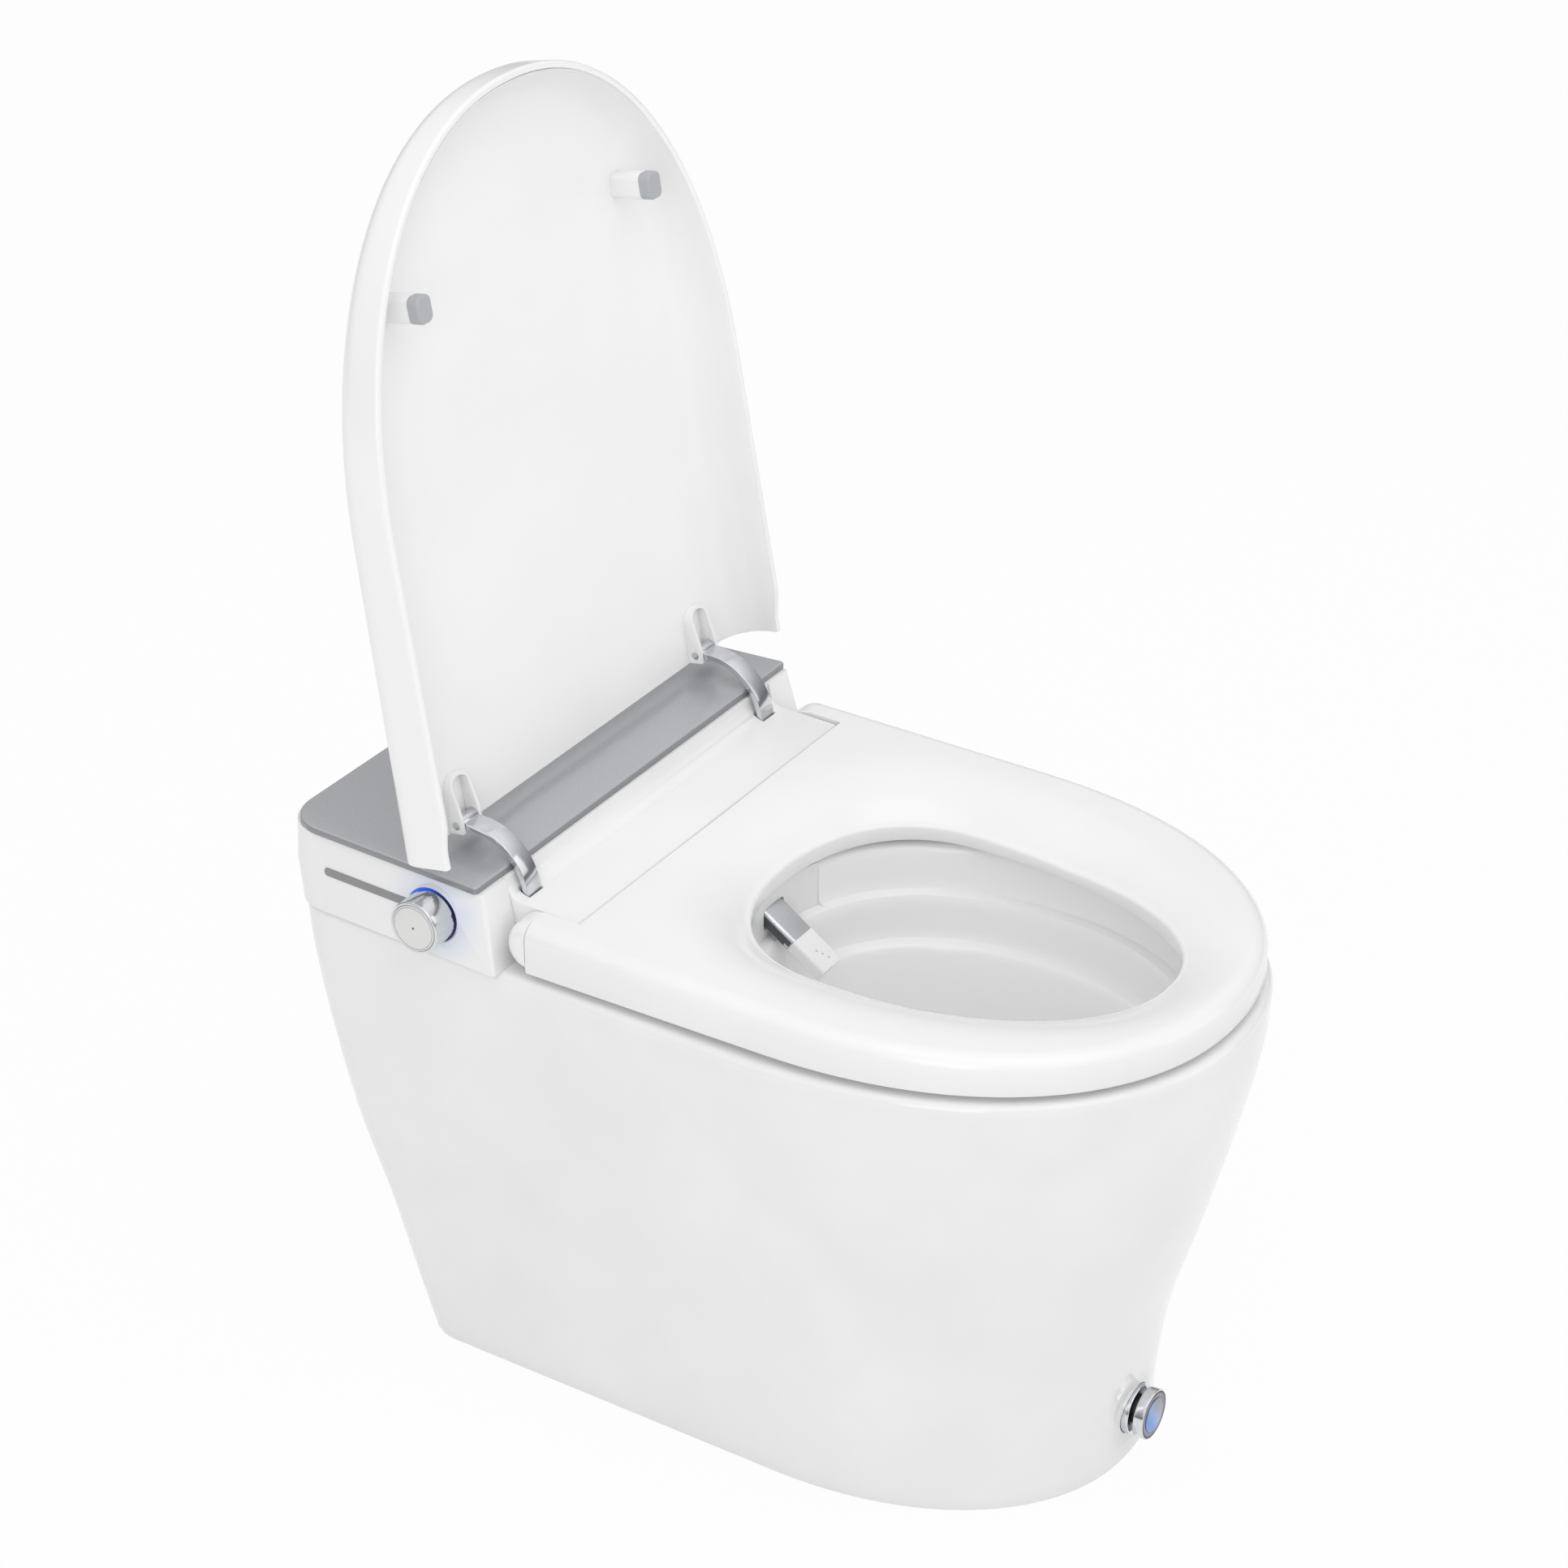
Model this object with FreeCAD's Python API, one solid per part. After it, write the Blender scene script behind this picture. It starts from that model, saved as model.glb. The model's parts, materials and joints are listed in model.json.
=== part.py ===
import FreeCAD, Part
import math
import os

V = FreeCAD.Vector
os.makedirs("parts", exist_ok=True)

# Frame: millimetres, +Z up, the user sits facing -Y.
# The origin is the centre of the waste outlet at floor level.
OVERRUN = 2.0            # every cut runs this far past the face it opens
RUN_FIT = 0.05           # radial clearance of a turning or sliding round fit
GAP = 0.5                # clearance between separate mouldings
REST_GAP = 0.3           # air left under a piece that rests on another body

# Ceramic pan
DECK_Z = 377.0           # top of the ceramic deck above the floor
FOOT_HALF = 153.5
FOOT_FRONT = 293.0
FOOT_REAR = 228.0
FOOT_REAR_HALF = 148.0
RIM_HALF = 204.0
RIM_FRONT = 361.0
RIM_REAR = 290.0
RIM_REAR_HALF = 192.0
WIDEST = 90.0            # how far ahead of the outlet the plan is widest
PLAN_CORNER = 32.0
PAN_WALL = 13.0
DECK_T = 24.0
RIM_ROUND = 7.0
FRONT_POWER = 2.15       # fullness of the rounded front, 2 is an ellipse
FRONT_STEPS = 12
PAN_LEVEL_shares = (     # height, flare of front and sides, lean of the back
    (0.0, 0.0, 0.0),
    (0.11, 0.02, 0.22),
    (0.30, 0.16, 0.50),
    (0.50, 0.46, 0.74),
    (0.70, 0.74, 0.87),
    (0.88, 0.95, 0.95),
    (1.0, 1.0, 1.0),
)

# Bowl, with two flushing ledges under the rim
BOWL_HALF = 131.0
BOWL_FRONT = 311.0
BOWL_REAR = -8.0
BOWL_POWER = 2.2
BOWL_STEPS = 28
BOWL_WALL = 12.0
LEDGE = 9.0              # width of each ledge
LEDGE_DROP = 36.0        # height between ledges
SUMP_Z = 62.0
SUMP_AHEAD = 150.0
SUMP_HALF = 34.0
SUMP_LENGTH = 44.0
BOWL_shares = ((0.0, 0.0), (0.3, 0.24), (0.62, 0.62), (0.85, 0.9), (1.0, 1.0))

# Siphon trap and outlet
TRAP_R = 24.0
TRAP_WALL = 8.0
TRAP_Z = 88.0
TRAP_BEND_AHEAD = 95.0
TRAP_CLIMB = 75.0        # degrees
WEIR_Z = 200.0
BEND_R = 42.0
CROWN_R = 36.0
OUTLET_R = 45.0
OUTLET_WALL = 12.0
OUTLET_DEPTH = 30.0
OUTLET_H = 48.0
SEAL_T = 4.0

# Openings in the deck
WELL_HALF = 128.0
WELL_FRONT = 120.0
WELL_REAR = 262.0
NOTCH_HALF = 48.0
NOTCH_REAR = 72.0
NOTCH_Z = 330.0          # floor of the notch behind the bowl's wall
NOTCH_FRONT = 20.0       # front of that lower part
SHIELD_T = 3.0           # plate that closes the notch towards the bowl
SHIELD_PLAY = 2.0        # its hole is this much wider than the wand

# Rear housing, its grey top panel and the chassis plate inside
HOUSE_H = 57.0
HOUSE_HALF = 203.0
HOUSE_REAR_HALF = 191.5
HOUSE_FRONT = 105.0
HOUSE_LEAN_IN = 6.5      # sides lean in by this much at the top
HOUSE_LEAN_BACK = 12.0   # front face leans back
HOUSE_REAR_OUT = 7.0     # back leans out over the pan
HOUSE_REAR_shares = ((0.0, 0.0), (0.5, 0.88), (1.0, 1.0))   # height, lean of the back
HOUSE_WALL = 3.0
HOUSE_CORNER = 3.0
HOUSE_REAR_CORNER = 30.0
PANEL_T = 5.3
PANEL_FRONT = 121.0
PANEL_OVERHANG = 1.8
PANEL_REAR_IN = 3.0      # panel's rear edge inside the housing's
PANEL_ROUND = 1.8
CHASSIS_T = 5.0
CHASSIS_IN = 4.5

# Hinge cover with its flap between the seat ears
COVER_HALF = 168.5
COVER_WALL = 3.0
FLAP_FRONT = 58.0
FLAP_RISE = 39.5         # flap above the deck at its front edge
FLAP_SLOPE = 1.8         # rise from front edge to fillet
COVER_FILLET = 14.0
FLAP_ROUND = 2.6

# Lid hinge
PIN_Y = 162.7
PIN_RISE = 18.8          # pin above the top panel
PIN_R = 3.0
PIN_X = 150.4
ARM_W = 16.0
ARM_T = 4.5
ARM_STRAIGHT = 10.0
ARM_BEND = 44.0
ARM_TURN = 78.0          # degrees
EYE_R = 5.4
ARM_FOOT = 26.0
ARM_FOOT_T = 4.0

# Lid, laid out flat about its hinge pin
LID_REACH = 482.0
LID_HALF = 210.0
LID_REAR_HALF = 213.0
LID_WIDEST = 210.0       # how far ahead of the pin the sides begin to round in
LID_RIM_DROP = 33.0      # rim plane below the pin axis
LID_T_REAR = 46.0
LID_T_FRONT = 33.0
LID_WALL = 5.5
LID_SKIN = 3.5
LID_TAIL = 6.5           # lid behind the pin
LID_TAPER = 4.0          # rim of the skirt rises by this much to its rear end, over the knob
LID_TAPER_L = 20.0       # length of that rise
LID_TAPER_FLAT = 6.0     # level part of it ahead of the pin
LID_ROUND = 14.0
LINER_T = 3.0
LID_LEAN = 9.8           # degrees past upright when open
LUG_LENGTH = 36.0
LUG_DEPTH = 12.0
LUG_TIP_DEPTH = 5.0
LUG_TAIL = 6.0
LUG_NOSE = 4.0           # bulge of the channel's rounded end
LUG_WALL = 3.0
LUG_PLAY = 0.5
BUFFER_SIDE = 75.0       # in from the lid's widest line
BUFFER_BACK = 119.0      # behind the lid's nose
BUFFER_W = 15.0
BUFFER_L = 19.0
BUFFER_ROUND = 5.0
BUFFER_CAP = 9.0
CLOSING_GAP = 4.0        # air under the lid's rim where the buffers stand

# Seat ring
SEAT_HALF = 197.0
SEAT_FRONT = 355.0
SEAT_WIDEST = 108.0
SEAT_LIFT = 5.0          # underside above the deck
SEAT_T_REAR = 37.0
SEAT_T_FRONT = 26.0
SEAT_AXIS_Y = 84.5
NOTCH_CLEAR = 1.5        # between the hinge cover and the seat behind it
SEAT_REAR_HALF = 195.5
EAR_CLEAR = 2.3          # between cover side and seat ear
SEAT_SIDE = 76.0         # width of the ring beside the opening
HOLE_FRONT = 300.0
HOLE_REAR = 18.0
SEAT_ROUND = 11.0
SEAT_WALL = 4.0
SEAT_BASE_T = 3.0
HEATER_T = 1.0
SEAT_PIN_R = 5.0
SEAT_PIN_GRIP = 17.0     # pin length inside the ear
SEAT_SOLID = 32.0        # solid part ahead of the hinge cover
RELIEF_CLEAR = 5.0       # air between the wand and the slanting underside of the seat's rear
TOWER_T = 16.0
PAD_L = 26.0
PAD_W = 12.0
PAD_PLACE_shares = ((0.78, 0.04), (0.66, 0.62))   # side share, front share

# Spray wand with its rack, pinion and guide
WAND_SLOPE = 34.0        # degrees below level
WAND_EXIT_Y = 13.0
WAND_EXIT_DROP = 18.0    # below the deck
WAND_W = 25.0
WAND_H = 12.0
WAND_ROUND = 3.0
WAND_OUT = 32.0          # metal tube beyond the exit
WAND_TAIL = 12.0
TIP_L = 30.5
JET_BACK = 11.0          # jets behind the end of the tip
JET_R = 0.9
JET_PITCH = 4.5
GUIDE_WALL = 5.0
GUIDE_LEDGE = 21.0       # rests on the chassis beside the slot
GUIDE_FRONT = 8.0
GUIDE_REAR = 66.0
MODULE = 0.8
PINION_TEETH = 15
PRESSURE = 25.0          # degrees
BACKLASH = 0.25
RACK_W = 6.0
PINION_W = 5.0
PINION_BACK = 24.0       # pinion behind the exit, along the wand
RACK_BACK = 5.5          # rack behind the pinion when the wand is out
RACK_LENGTH = 61.0
PINION_SHAFT_R = 2.0
MOTOR_R = 12.0
MOTOR_L = 24.0

# Side knob, light ring and grey inlay on the left cheek
KNOB_Y = 158.0
KNOB_RISE = 31.5         # above the deck
KNOB_R = 19.5
KNOB_L = 21.0
KNOB_WALL = 2.0
KNOB_PRESS = 2.0
KNOB_SHAFT_R = 5.0
BOSS_R = 21.0
BOSS_PROUD = 1.9
RING_T = 1.5
RING_IN = 3.0
STRIP_FRONT = 180.0
STRIP_REAR = 257.0
STRIP_H = 6.0
STRIP_RISE = 31.5
STRIP_PROUD = 0.5
STRIP_DEEP = 1.2

# Foot flush button
FOOT_Z = 41.0
FOOT_R = 19.0
FOOT_STEM_R = 11.0
FOOT_BUSH_R = 14.0
FOOT_FLANGE_T = 8.0
FOOT_TRAVEL = 3.0
FOOT_CAP_T = 8.0
FOOT_LENS_R = 13.0
FOOT_LENS_T = 1.6
FOOT_BUSH_L = 30.0
SWITCH_L = 14.0

# Water and air gear under and inside the housing
TANK_HALF = 112.0
TANK_FRONT = 130.0
TANK_REAR = 240.0
TANK_H = 160.0
TANK_ROUND = 14.0
PUMP_R = 38.0
PUMP_H = 58.0
PUMP_Y = 186.0
HEATER_L = 90.0
HEATER_W = 46.0
HEATER_H = 34.0
BLOWER_R = 24.0
BLOWER_W = 38.0
BOARD_L = 110.0
BOARD_W = 52.0
BOARD_T = 1.6
STANDOFF_H = 6.0
STANDOFF_R = 3.0
VALVE_L = 40.0
VALVE_W = 26.0
VALVE_H = 24.0
GEAR_Y = 205.0           # middle of the gear on the chassis
INLET_R = 10.48         # half-inch pipe thread
INLET_NECK_R = 10.0
INLET_OUT = 14.5
INLET_FIT_L = 7.5        # threaded end behind the housing
INLET_L = 26.0
INLET_X = 120.0
INLET_RISE = 22.0
INLET_NUT_R = 15.0
INLET_NUT_T = 5.0
INLET_BORE_R = 6.0
GLAND_X = -120.0
GLAND_R = 9.0
GLAND_L = 14.0
GLAND_BORE_R = 4.0

# Screws
SCREW_R = 3.0
SCREW_HEAD_R = 5.5
SCREW_HEAD_T = 3.6
SCREW_GRIP = 14.0
CHASSIS_SCREW_X = 175.0
CHASSIS_SCREW_Y = (140.0, 255.0)

# Heights and places worked out from the sizes above
CHASSIS_TOP = DECK_Z + CHASSIS_T
HOUSE_TOP = DECK_Z + HOUSE_H
PANEL_TOP = HOUSE_TOP + PANEL_T
PIN_Z = PANEL_TOP + PIN_RISE
FLAP_Z = DECK_Z + FLAP_RISE
SEAT_Z = DECK_Z + SEAT_LIFT
SEAT_AXIS = V(0, SEAT_AXIS_Y, SEAT_Z + SEAT_T_REAR / 2)
EAR_IN = COVER_HALF + EAR_CLEAR
KNOB_Z = DECK_Z + KNOB_RISE
BUFFER_X = LID_HALF - BUFFER_SIDE
BUFFER_REACH = LID_REACH - BUFFER_BACK
HOLE_HALF = SEAT_HALF - SEAT_SIDE
WAND_EXIT = V(0, WAND_EXIT_Y, DECK_Z - WAND_EXIT_DROP)
X_AXIS = V(1, 0, 0)
Y_AXIS = V(0, 1, 0)
Z_AXIS = V(0, 0, 1)


# Shared shapes
def box(x0, x1, y0, y1, z0, z1):
    return Part.makeBox(x1 - x0, y1 - y0, z1 - z0, V(x0, y0, z0))


def rod(start, axis, radius, length):
    return Part.makeCylinder(radius, length, start, axis)


def tube(start, axis, outer, inner, length):
    hole = rod(start - axis * OVERRUN, axis, inner, length + OVERRUN + OVERRUN)
    return rod(start, axis, outer, length).cut(hole)


def join(shapes):
    whole = shapes[0]
    for shape in shapes[1:]:
        whole = whole.fuse(shape)
    return whole.removeSplitter()


def group(shapes):
    return Part.makeCompound(shapes)


def line(a, b):
    return Part.LineSegment(a, b).toShape()


def arc(a, b, c):
    return Part.Arc(a, b, c).toShape()


def prism(points, push):
    return Part.Face(Part.makePolygon(points + points[:1])).extrude(push)


def loft(wires, ruled=False):
    return Part.makeLoft(wires, True, ruled)


def sloped(wire, slope):
    """A level outline tipped so that it rises towards the back."""
    tip = FreeCAD.Matrix()
    tip.A32 = slope
    return wire.transformGeometry(tip)


def edges_where(shape, test):
    return [edge for edge in shape.Edges if test(edge.BoundBox)]


def mirrored(shape):
    return shape.mirror(V(0, 0, 0), X_AXIS)


def both_sides(shape):
    return group([shape, mirrored(shape)])


def superellipse(half, length, power, turn):
    across = half * math.copysign(abs(math.cos(turn)) ** (2 / power), math.cos(turn))
    along = length * math.copysign(abs(math.sin(turn)) ** (2 / power), math.sin(turn))
    return across, along


def d_wire(half, rear_half, front, rear, corner, z, widest=WIDEST):
    """Plan with a rounded front, nearly straight sides and a flat rounded-off back."""
    points = []
    for step in range(FRONT_STEPS + 1):
        x, ahead = superellipse(half, front - widest, FRONT_POWER, math.pi * step / FRONT_STEPS)
        points.append(V(x, -widest - ahead, z))
    side = V(half - rear_half, -widest - rear + corner, 0).normalize()
    back = V(side.x, -side.y, 0)
    nose = Part.BSplineCurve()
    nose.interpolate(Points=points, InitialTangent=side, FinalTangent=back, Scale=False)
    bulge = corner * math.sin(math.pi / 4)
    right = V(rear_half, rear - corner, z)
    right_end = V(rear_half - corner, rear, z)
    right_mid = V(rear_half - corner + bulge, rear - corner + bulge, z)
    flip = [V(-p.x, p.y, z) for p in (right, right_mid, right_end)]
    edges = [line(right, points[0]), nose.toShape(), line(points[-1], flip[0]), arc(*flip)]
    edges += [line(flip[2], right_end), arc(right_end, right_mid, right)]
    return Part.Wire(edges)


def egg_wire(half, front, rear, power, z):
    """Closed oval between two distances ahead of the outlet."""
    middle = (front + rear) / 2
    points = []
    for step in range(BOWL_STEPS):
        x, ahead = superellipse(half, (front - rear) / 2, power, 2 * math.pi * step / BOWL_STEPS)
        points.append(V(x, -middle - ahead, z))
    oval = Part.BSplineCurve()
    oval.interpolate(Points=points, PeriodicFlag=True)
    return Part.Wire([oval.toShape()])


def plan_wire(half, rear_half, front, rear, corner, rear_corner, z):
    """Tapered rectangle with rounded corners, straight across the front."""
    corners = [(half, front, corner), (rear_half, rear, rear_corner)]
    corners += [(-rear_half, rear, rear_corner), (-half, front, corner)]
    points = [V(x, y, z) for x, y, r in corners]
    return rounded_loop(points, [r for x, y, r in corners])


def corner_cut(before, at, after, radius):
    """Start, middle and end of the arc that rounds one corner."""
    u = (before - at).normalize()
    w = (after - at).normalize()
    half_angle = u.getAngle(w) / 2
    reach = radius / math.tan(half_angle)
    middle = (u + w).normalize()
    depth = radius / math.sin(half_angle) - radius
    return at + u * reach, at + middle * depth, at + w * reach


def rounded_loop(points, radii):
    cuts = []
    for i, at in enumerate(points):
        cuts.append(corner_cut(points[i - 1], at, points[(i + 1) % len(points)], radii[i]))
    edges = []
    for i, cut in enumerate(cuts):
        edges.append(arc(*cut))
        edges.append(line(cut[2], cuts[(i + 1) % len(cuts)][0]))
    return Part.Wire(edges)


def rounded_path(points, radii):
    """Open route of straight runs joined by tangent arcs."""
    edges = []
    last = points[0]
    for before, at, after, radius in zip(points, points[1:], points[2:], radii):
        start, middle, end = corner_cut(before, at, after, radius)
        edges += [line(last, start), arc(start, middle, end)]
        last = end
    edges.append(line(last, points[-1]))
    return Part.Wire(edges)


def pipe(points, radii, radius):
    ring = Part.Wire([Part.Circle(points[0], points[1] - points[0], radius).toShape()])
    return rounded_path(points, radii).makePipeShell([ring], True, True)


def rounded_bar(width, height, corner, start, along, up, length):
    """Bar of rounded section whose middle line starts at a point."""
    across = along.cross(up)
    points = []
    for sx, sy in ((1, 1), (-1, 1), (-1, -1), (1, -1)):
        points.append(start + across * (sx * width / 2) + up * (sy * height / 2))
    return Part.Face(rounded_loop(points, [corner] * 4)).extrude(along * length)


def save(shape, name):
    shape.exportStep("parts/" + name + ".step")


# Ceramic pan: a hollow flared skirt, the bowl, the siphon trap and the deck
def pan_level(shares, inset, z):
    height, flare, lean = shares
    half = FOOT_HALF + (RIM_HALF - FOOT_HALF) * flare - inset
    rear_half = FOOT_REAR_HALF + (RIM_REAR_HALF - FOOT_REAR_HALF) * flare - inset
    front = FOOT_FRONT + (RIM_FRONT - FOOT_FRONT) * flare - inset
    rear = FOOT_REAR + (RIM_REAR - FOOT_REAR) * lean - inset
    return d_wire(half, rear_half, front, rear, PLAN_CORNER - inset, z)


def pan_skirt():
    outer = loft([pan_level(s, 0, DECK_Z * s[0]) for s in PAN_LEVEL_shares])
    rim = edges_where(outer, lambda b: b.ZMin > DECK_Z - RIM_ROUND)
    outer = outer.makeFillet(RIM_ROUND, rim)
    top = DECK_Z - DECK_T
    hollow = loft([pan_level(s, PAN_WALL, -OVERRUN + (top + OVERRUN) * s[0]) for s in PAN_LEVEL_shares])
    return outer.cut(hollow)


def bowl_section(shares, grow):
    """Oval between the lower ledge and the sump."""
    drop, draw = shares
    top = DECK_Z - 2 * LEDGE_DROP
    half = BOWL_HALF - 2 * LEDGE
    front = BOWL_FRONT - 2 * LEDGE
    rear = BOWL_REAR + 2 * LEDGE
    half += (SUMP_HALF - half) * draw + grow
    front += (SUMP_AHEAD + SUMP_LENGTH - front) * draw + grow
    rear += (SUMP_AHEAD - SUMP_LENGTH - rear) * draw - grow
    return egg_wire(half, front, rear, BOWL_POWER, top + (SUMP_Z - top) * drop)


def bowl_ring(index, z0, z1):
    inset = LEDGE * index
    wires = []
    for z in (z0, z1):
        wires.append(egg_wire(BOWL_HALF - inset, BOWL_FRONT - inset, BOWL_REAR + inset, BOWL_POWER, z))
    return loft(wires, True)


def bowl_space():
    lower = loft([bowl_section(s, 0) for s in BOWL_shares])
    first = bowl_ring(0, DECK_Z - LEDGE_DROP, DECK_Z + OVERRUN)
    second = bowl_ring(1, DECK_Z - 2 * LEDGE_DROP, DECK_Z - LEDGE_DROP + OVERRUN)
    return [first, second, lower]


def bowl_body():
    grown = []
    for index in (0, 1):
        inset = LEDGE * index - BOWL_WALL
        z0 = DECK_Z - LEDGE_DROP * (index + 1) - BOWL_WALL
        z1 = DECK_Z - DECK_T / 2 - LEDGE_DROP * index
        wires = []
        for z in (z0, z1):
            wires.append(egg_wire(BOWL_HALF - inset, BOWL_FRONT - inset, BOWL_REAR + inset, BOWL_POWER, z))
        grown.append(loft(wires, True))
    lower = loft([bowl_section(s, BOWL_WALL) for s in BOWL_shares])
    sole = bowl_section(BOWL_shares[-1], BOWL_WALL)
    grown.append(lower)
    grown.append(Part.Face(sole).extrude(V(0, 0, -BOWL_WALL)))
    return grown


def trap_route():
    climb = math.radians(TRAP_CLIMB)
    rise = WEIR_Z - TRAP_Z
    low = V(0, -TRAP_BEND_AHEAD, TRAP_Z)
    high = low + V(0, rise / math.tan(climb), rise)
    return [V(0, -SUMP_AHEAD, TRAP_Z), low, high, V(0, 0, WEIR_Z), V(0, 0, OUTLET_H - TRAP_WALL)]


def pan():
    body = pan_skirt()
    for piece in bowl_body():
        body = body.fuse(piece)
    bends = (BEND_R, CROWN_R, CROWN_R)
    body = body.fuse(pipe(trap_route(), bends, TRAP_R + TRAP_WALL))
    boss = rod(V(0, 0, SEAL_T), Z_AXIS, OUTLET_R + OUTLET_WALL, OUTLET_H - SEAL_T)
    body = body.fuse(boss)
    for piece in bowl_space():
        body = body.cut(piece)
    body = body.cut(pipe(trap_route(), bends, TRAP_R))
    body = body.cut(rod(V(0, 0, -OVERRUN), Z_AXIS, OUTLET_R, OUTLET_DEPTH + OVERRUN))
    body = body.cut(rod(V(0, 0, OUTLET_DEPTH - OVERRUN), Z_AXIS, TRAP_R, OUTLET_H))
    body = body.cut(service_openings())
    return body.removeSplitter()


def service_openings():
    """Well for the tank, notch for the wand, bolt holes and the foot button's seat."""
    well = box(-WELL_HALF, WELL_HALF, WELL_FRONT, WELL_REAR, DECK_Z - DECK_T - OVERRUN, DECK_Z + OVERRUN)
    mouth = box(-NOTCH_HALF, NOTCH_HALF, BOWL_REAR, NOTCH_REAR, DECK_Z - LEDGE_DROP, DECK_Z + OVERRUN)
    notch = box(-NOTCH_HALF, NOTCH_HALF, NOTCH_FRONT, NOTCH_REAR, NOTCH_Z, DECK_Z)
    cuts = [well, mouth, notch]
    for x, y in chassis_screw_places():
        cuts.append(rod(V(x, y, DECK_Z - SCREW_GRIP), Z_AXIS, SCREW_R + RUN_FIT, SCREW_GRIP + OVERRUN))
    face = V(0, -foot_face(), FOOT_Z)
    cuts.append(rod(face, -Y_AXIS, FOOT_R + GAP, FOOT_R))
    cuts.append(rod(face - Y_AXIS * OVERRUN, Y_AXIS, FOOT_BUSH_R + RUN_FIT, FOOT_BUSH_L + OVERRUN))
    return join(cuts)


def foot_face():
    """Distance ahead of the flat that the foot button's collar sits on."""
    return FOOT_FRONT - FOOT_R * FOOT_R / FOOT_HALF


def chassis_screw_places():
    return [(side * CHASSIS_SCREW_X, y) for side in (-1, 1) for y in CHASSIS_SCREW_Y]


def outlet_seal():
    return tube(V(0, 0, 0), Z_AXIS, OUTLET_R + OUTLET_WALL, OUTLET_R, SEAL_T)


# Rear housing: a leaning shell, open below and in front
def house_wire(grow, z):
    share = (z - DECK_Z) / HOUSE_H
    half = HOUSE_HALF - HOUSE_LEAN_IN * share + grow
    rear_half = HOUSE_REAR_HALF - HOUSE_LEAN_IN * share + grow
    front = HOUSE_FRONT + HOUSE_LEAN_BACK * share - grow
    below, above = HOUSE_REAR_shares[:2] if share < HOUSE_REAR_shares[1][0] else HOUSE_REAR_shares[1:]
    lean = below[1] + (above[1] - below[1]) * (share - below[0]) / (above[0] - below[0])
    rear = RIM_REAR + HOUSE_REAR_OUT * lean + grow
    corner = max(HOUSE_CORNER + grow, HOUSE_CORNER / 2)
    return plan_wire(half, rear_half, front, rear, corner, HOUSE_REAR_CORNER + grow, z)


def house_solid(grow, z0, z1):
    bulge = DECK_Z + HOUSE_H * HOUSE_REAR_shares[1][0]
    heights = [z0, bulge, z1] if z1 > bulge else [z0, z1]
    return loft([house_wire(grow, z) for z in heights], True)


def knob_seat_x():
    share = KNOB_RISE / HOUSE_H
    taper = (HOUSE_HALF - HOUSE_REAR_HALF) * (KNOB_Y - HOUSE_FRONT) / (RIM_REAR - HOUSE_FRONT)
    return -(HOUSE_HALF - HOUSE_LEAN_IN * share - taper + BOSS_PROUD)


def strip_zone():
    z = DECK_Z + STRIP_RISE
    half = STRIP_H / 2
    reach = HOUSE_HALF + OVERRUN
    bar = box(-reach, 0, STRIP_FRONT, STRIP_REAR - half, z - half, z + half)
    return bar.fuse(rod(V(-reach, STRIP_REAR - half, z), X_AXIS, half, reach))


def housing():
    shell = house_solid(0, DECK_Z, HOUSE_TOP)
    shell = shell.cut(house_solid(-HOUSE_WALL, DECK_Z - OVERRUN, HOUSE_TOP - HOUSE_WALL))
    mouth = COVER_HALF + GAP
    shell = shell.cut(box(-mouth, mouth, 0, PANEL_FRONT + GAP, DECK_Z - OVERRUN, HOUSE_TOP + OVERRUN))
    seat = knob_seat_x()
    boss = rod(V(seat, KNOB_Y, KNOB_Z), X_AXIS, BOSS_R, BOSS_PROUD + HOUSE_WALL + HOUSE_WALL)
    flat = rod(V(seat, KNOB_Y, KNOB_Z), -X_AXIS, BOSS_R + GAP, BOSS_R)
    shell = shell.fuse(boss).cut(flat)
    shell = shell.cut(rod(V(seat - OVERRUN, KNOB_Y, KNOB_Z), X_AXIS, KNOB_SHAFT_R + RUN_FIT, BOSS_R))
    groove = strip_zone().cut(house_solid(-STRIP_DEEP, DECK_Z - OVERRUN, HOUSE_TOP + OVERRUN))
    shell = shell.cut(groove)
    for x, z, r in rear_ports():
        start = V(x, RIM_REAR - HOUSE_WALL - BOSS_R, z)
        shell = shell.cut(rod(start, Y_AXIS, r + RUN_FIT, BOSS_R + BOSS_R))
    return shell.removeSplitter()


def rear_ports():
    z = DECK_Z + INLET_RISE
    return [(INLET_X, z, INLET_NECK_R), (GLAND_X, z, GLAND_R)]


def side_strip():
    layer = house_solid(STRIP_PROUD, DECK_Z, HOUSE_TOP)
    layer = layer.cut(house_solid(-STRIP_DEEP, DECK_Z - OVERRUN, HOUSE_TOP + OVERRUN))
    return layer.common(strip_zone())


def top_panel():
    half = HOUSE_HALF - HOUSE_LEAN_IN + PANEL_OVERHANG
    rear_half = HOUSE_REAR_HALF - HOUSE_LEAN_IN + PANEL_OVERHANG
    rear = RIM_REAR + HOUSE_REAR_OUT - PANEL_REAR_IN
    corner = HOUSE_REAR_CORNER + PANEL_OVERHANG
    outline = plan_wire(half, rear_half, PANEL_FRONT, rear, HOUSE_CORNER, corner, HOUSE_TOP)
    plate = Part.Face(outline).extrude(V(0, 0, PANEL_T))
    top = edges_where(plate, lambda b: b.ZMin > PANEL_TOP - PANEL_ROUND)
    return plate.makeFillet(PANEL_ROUND, top)


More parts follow.
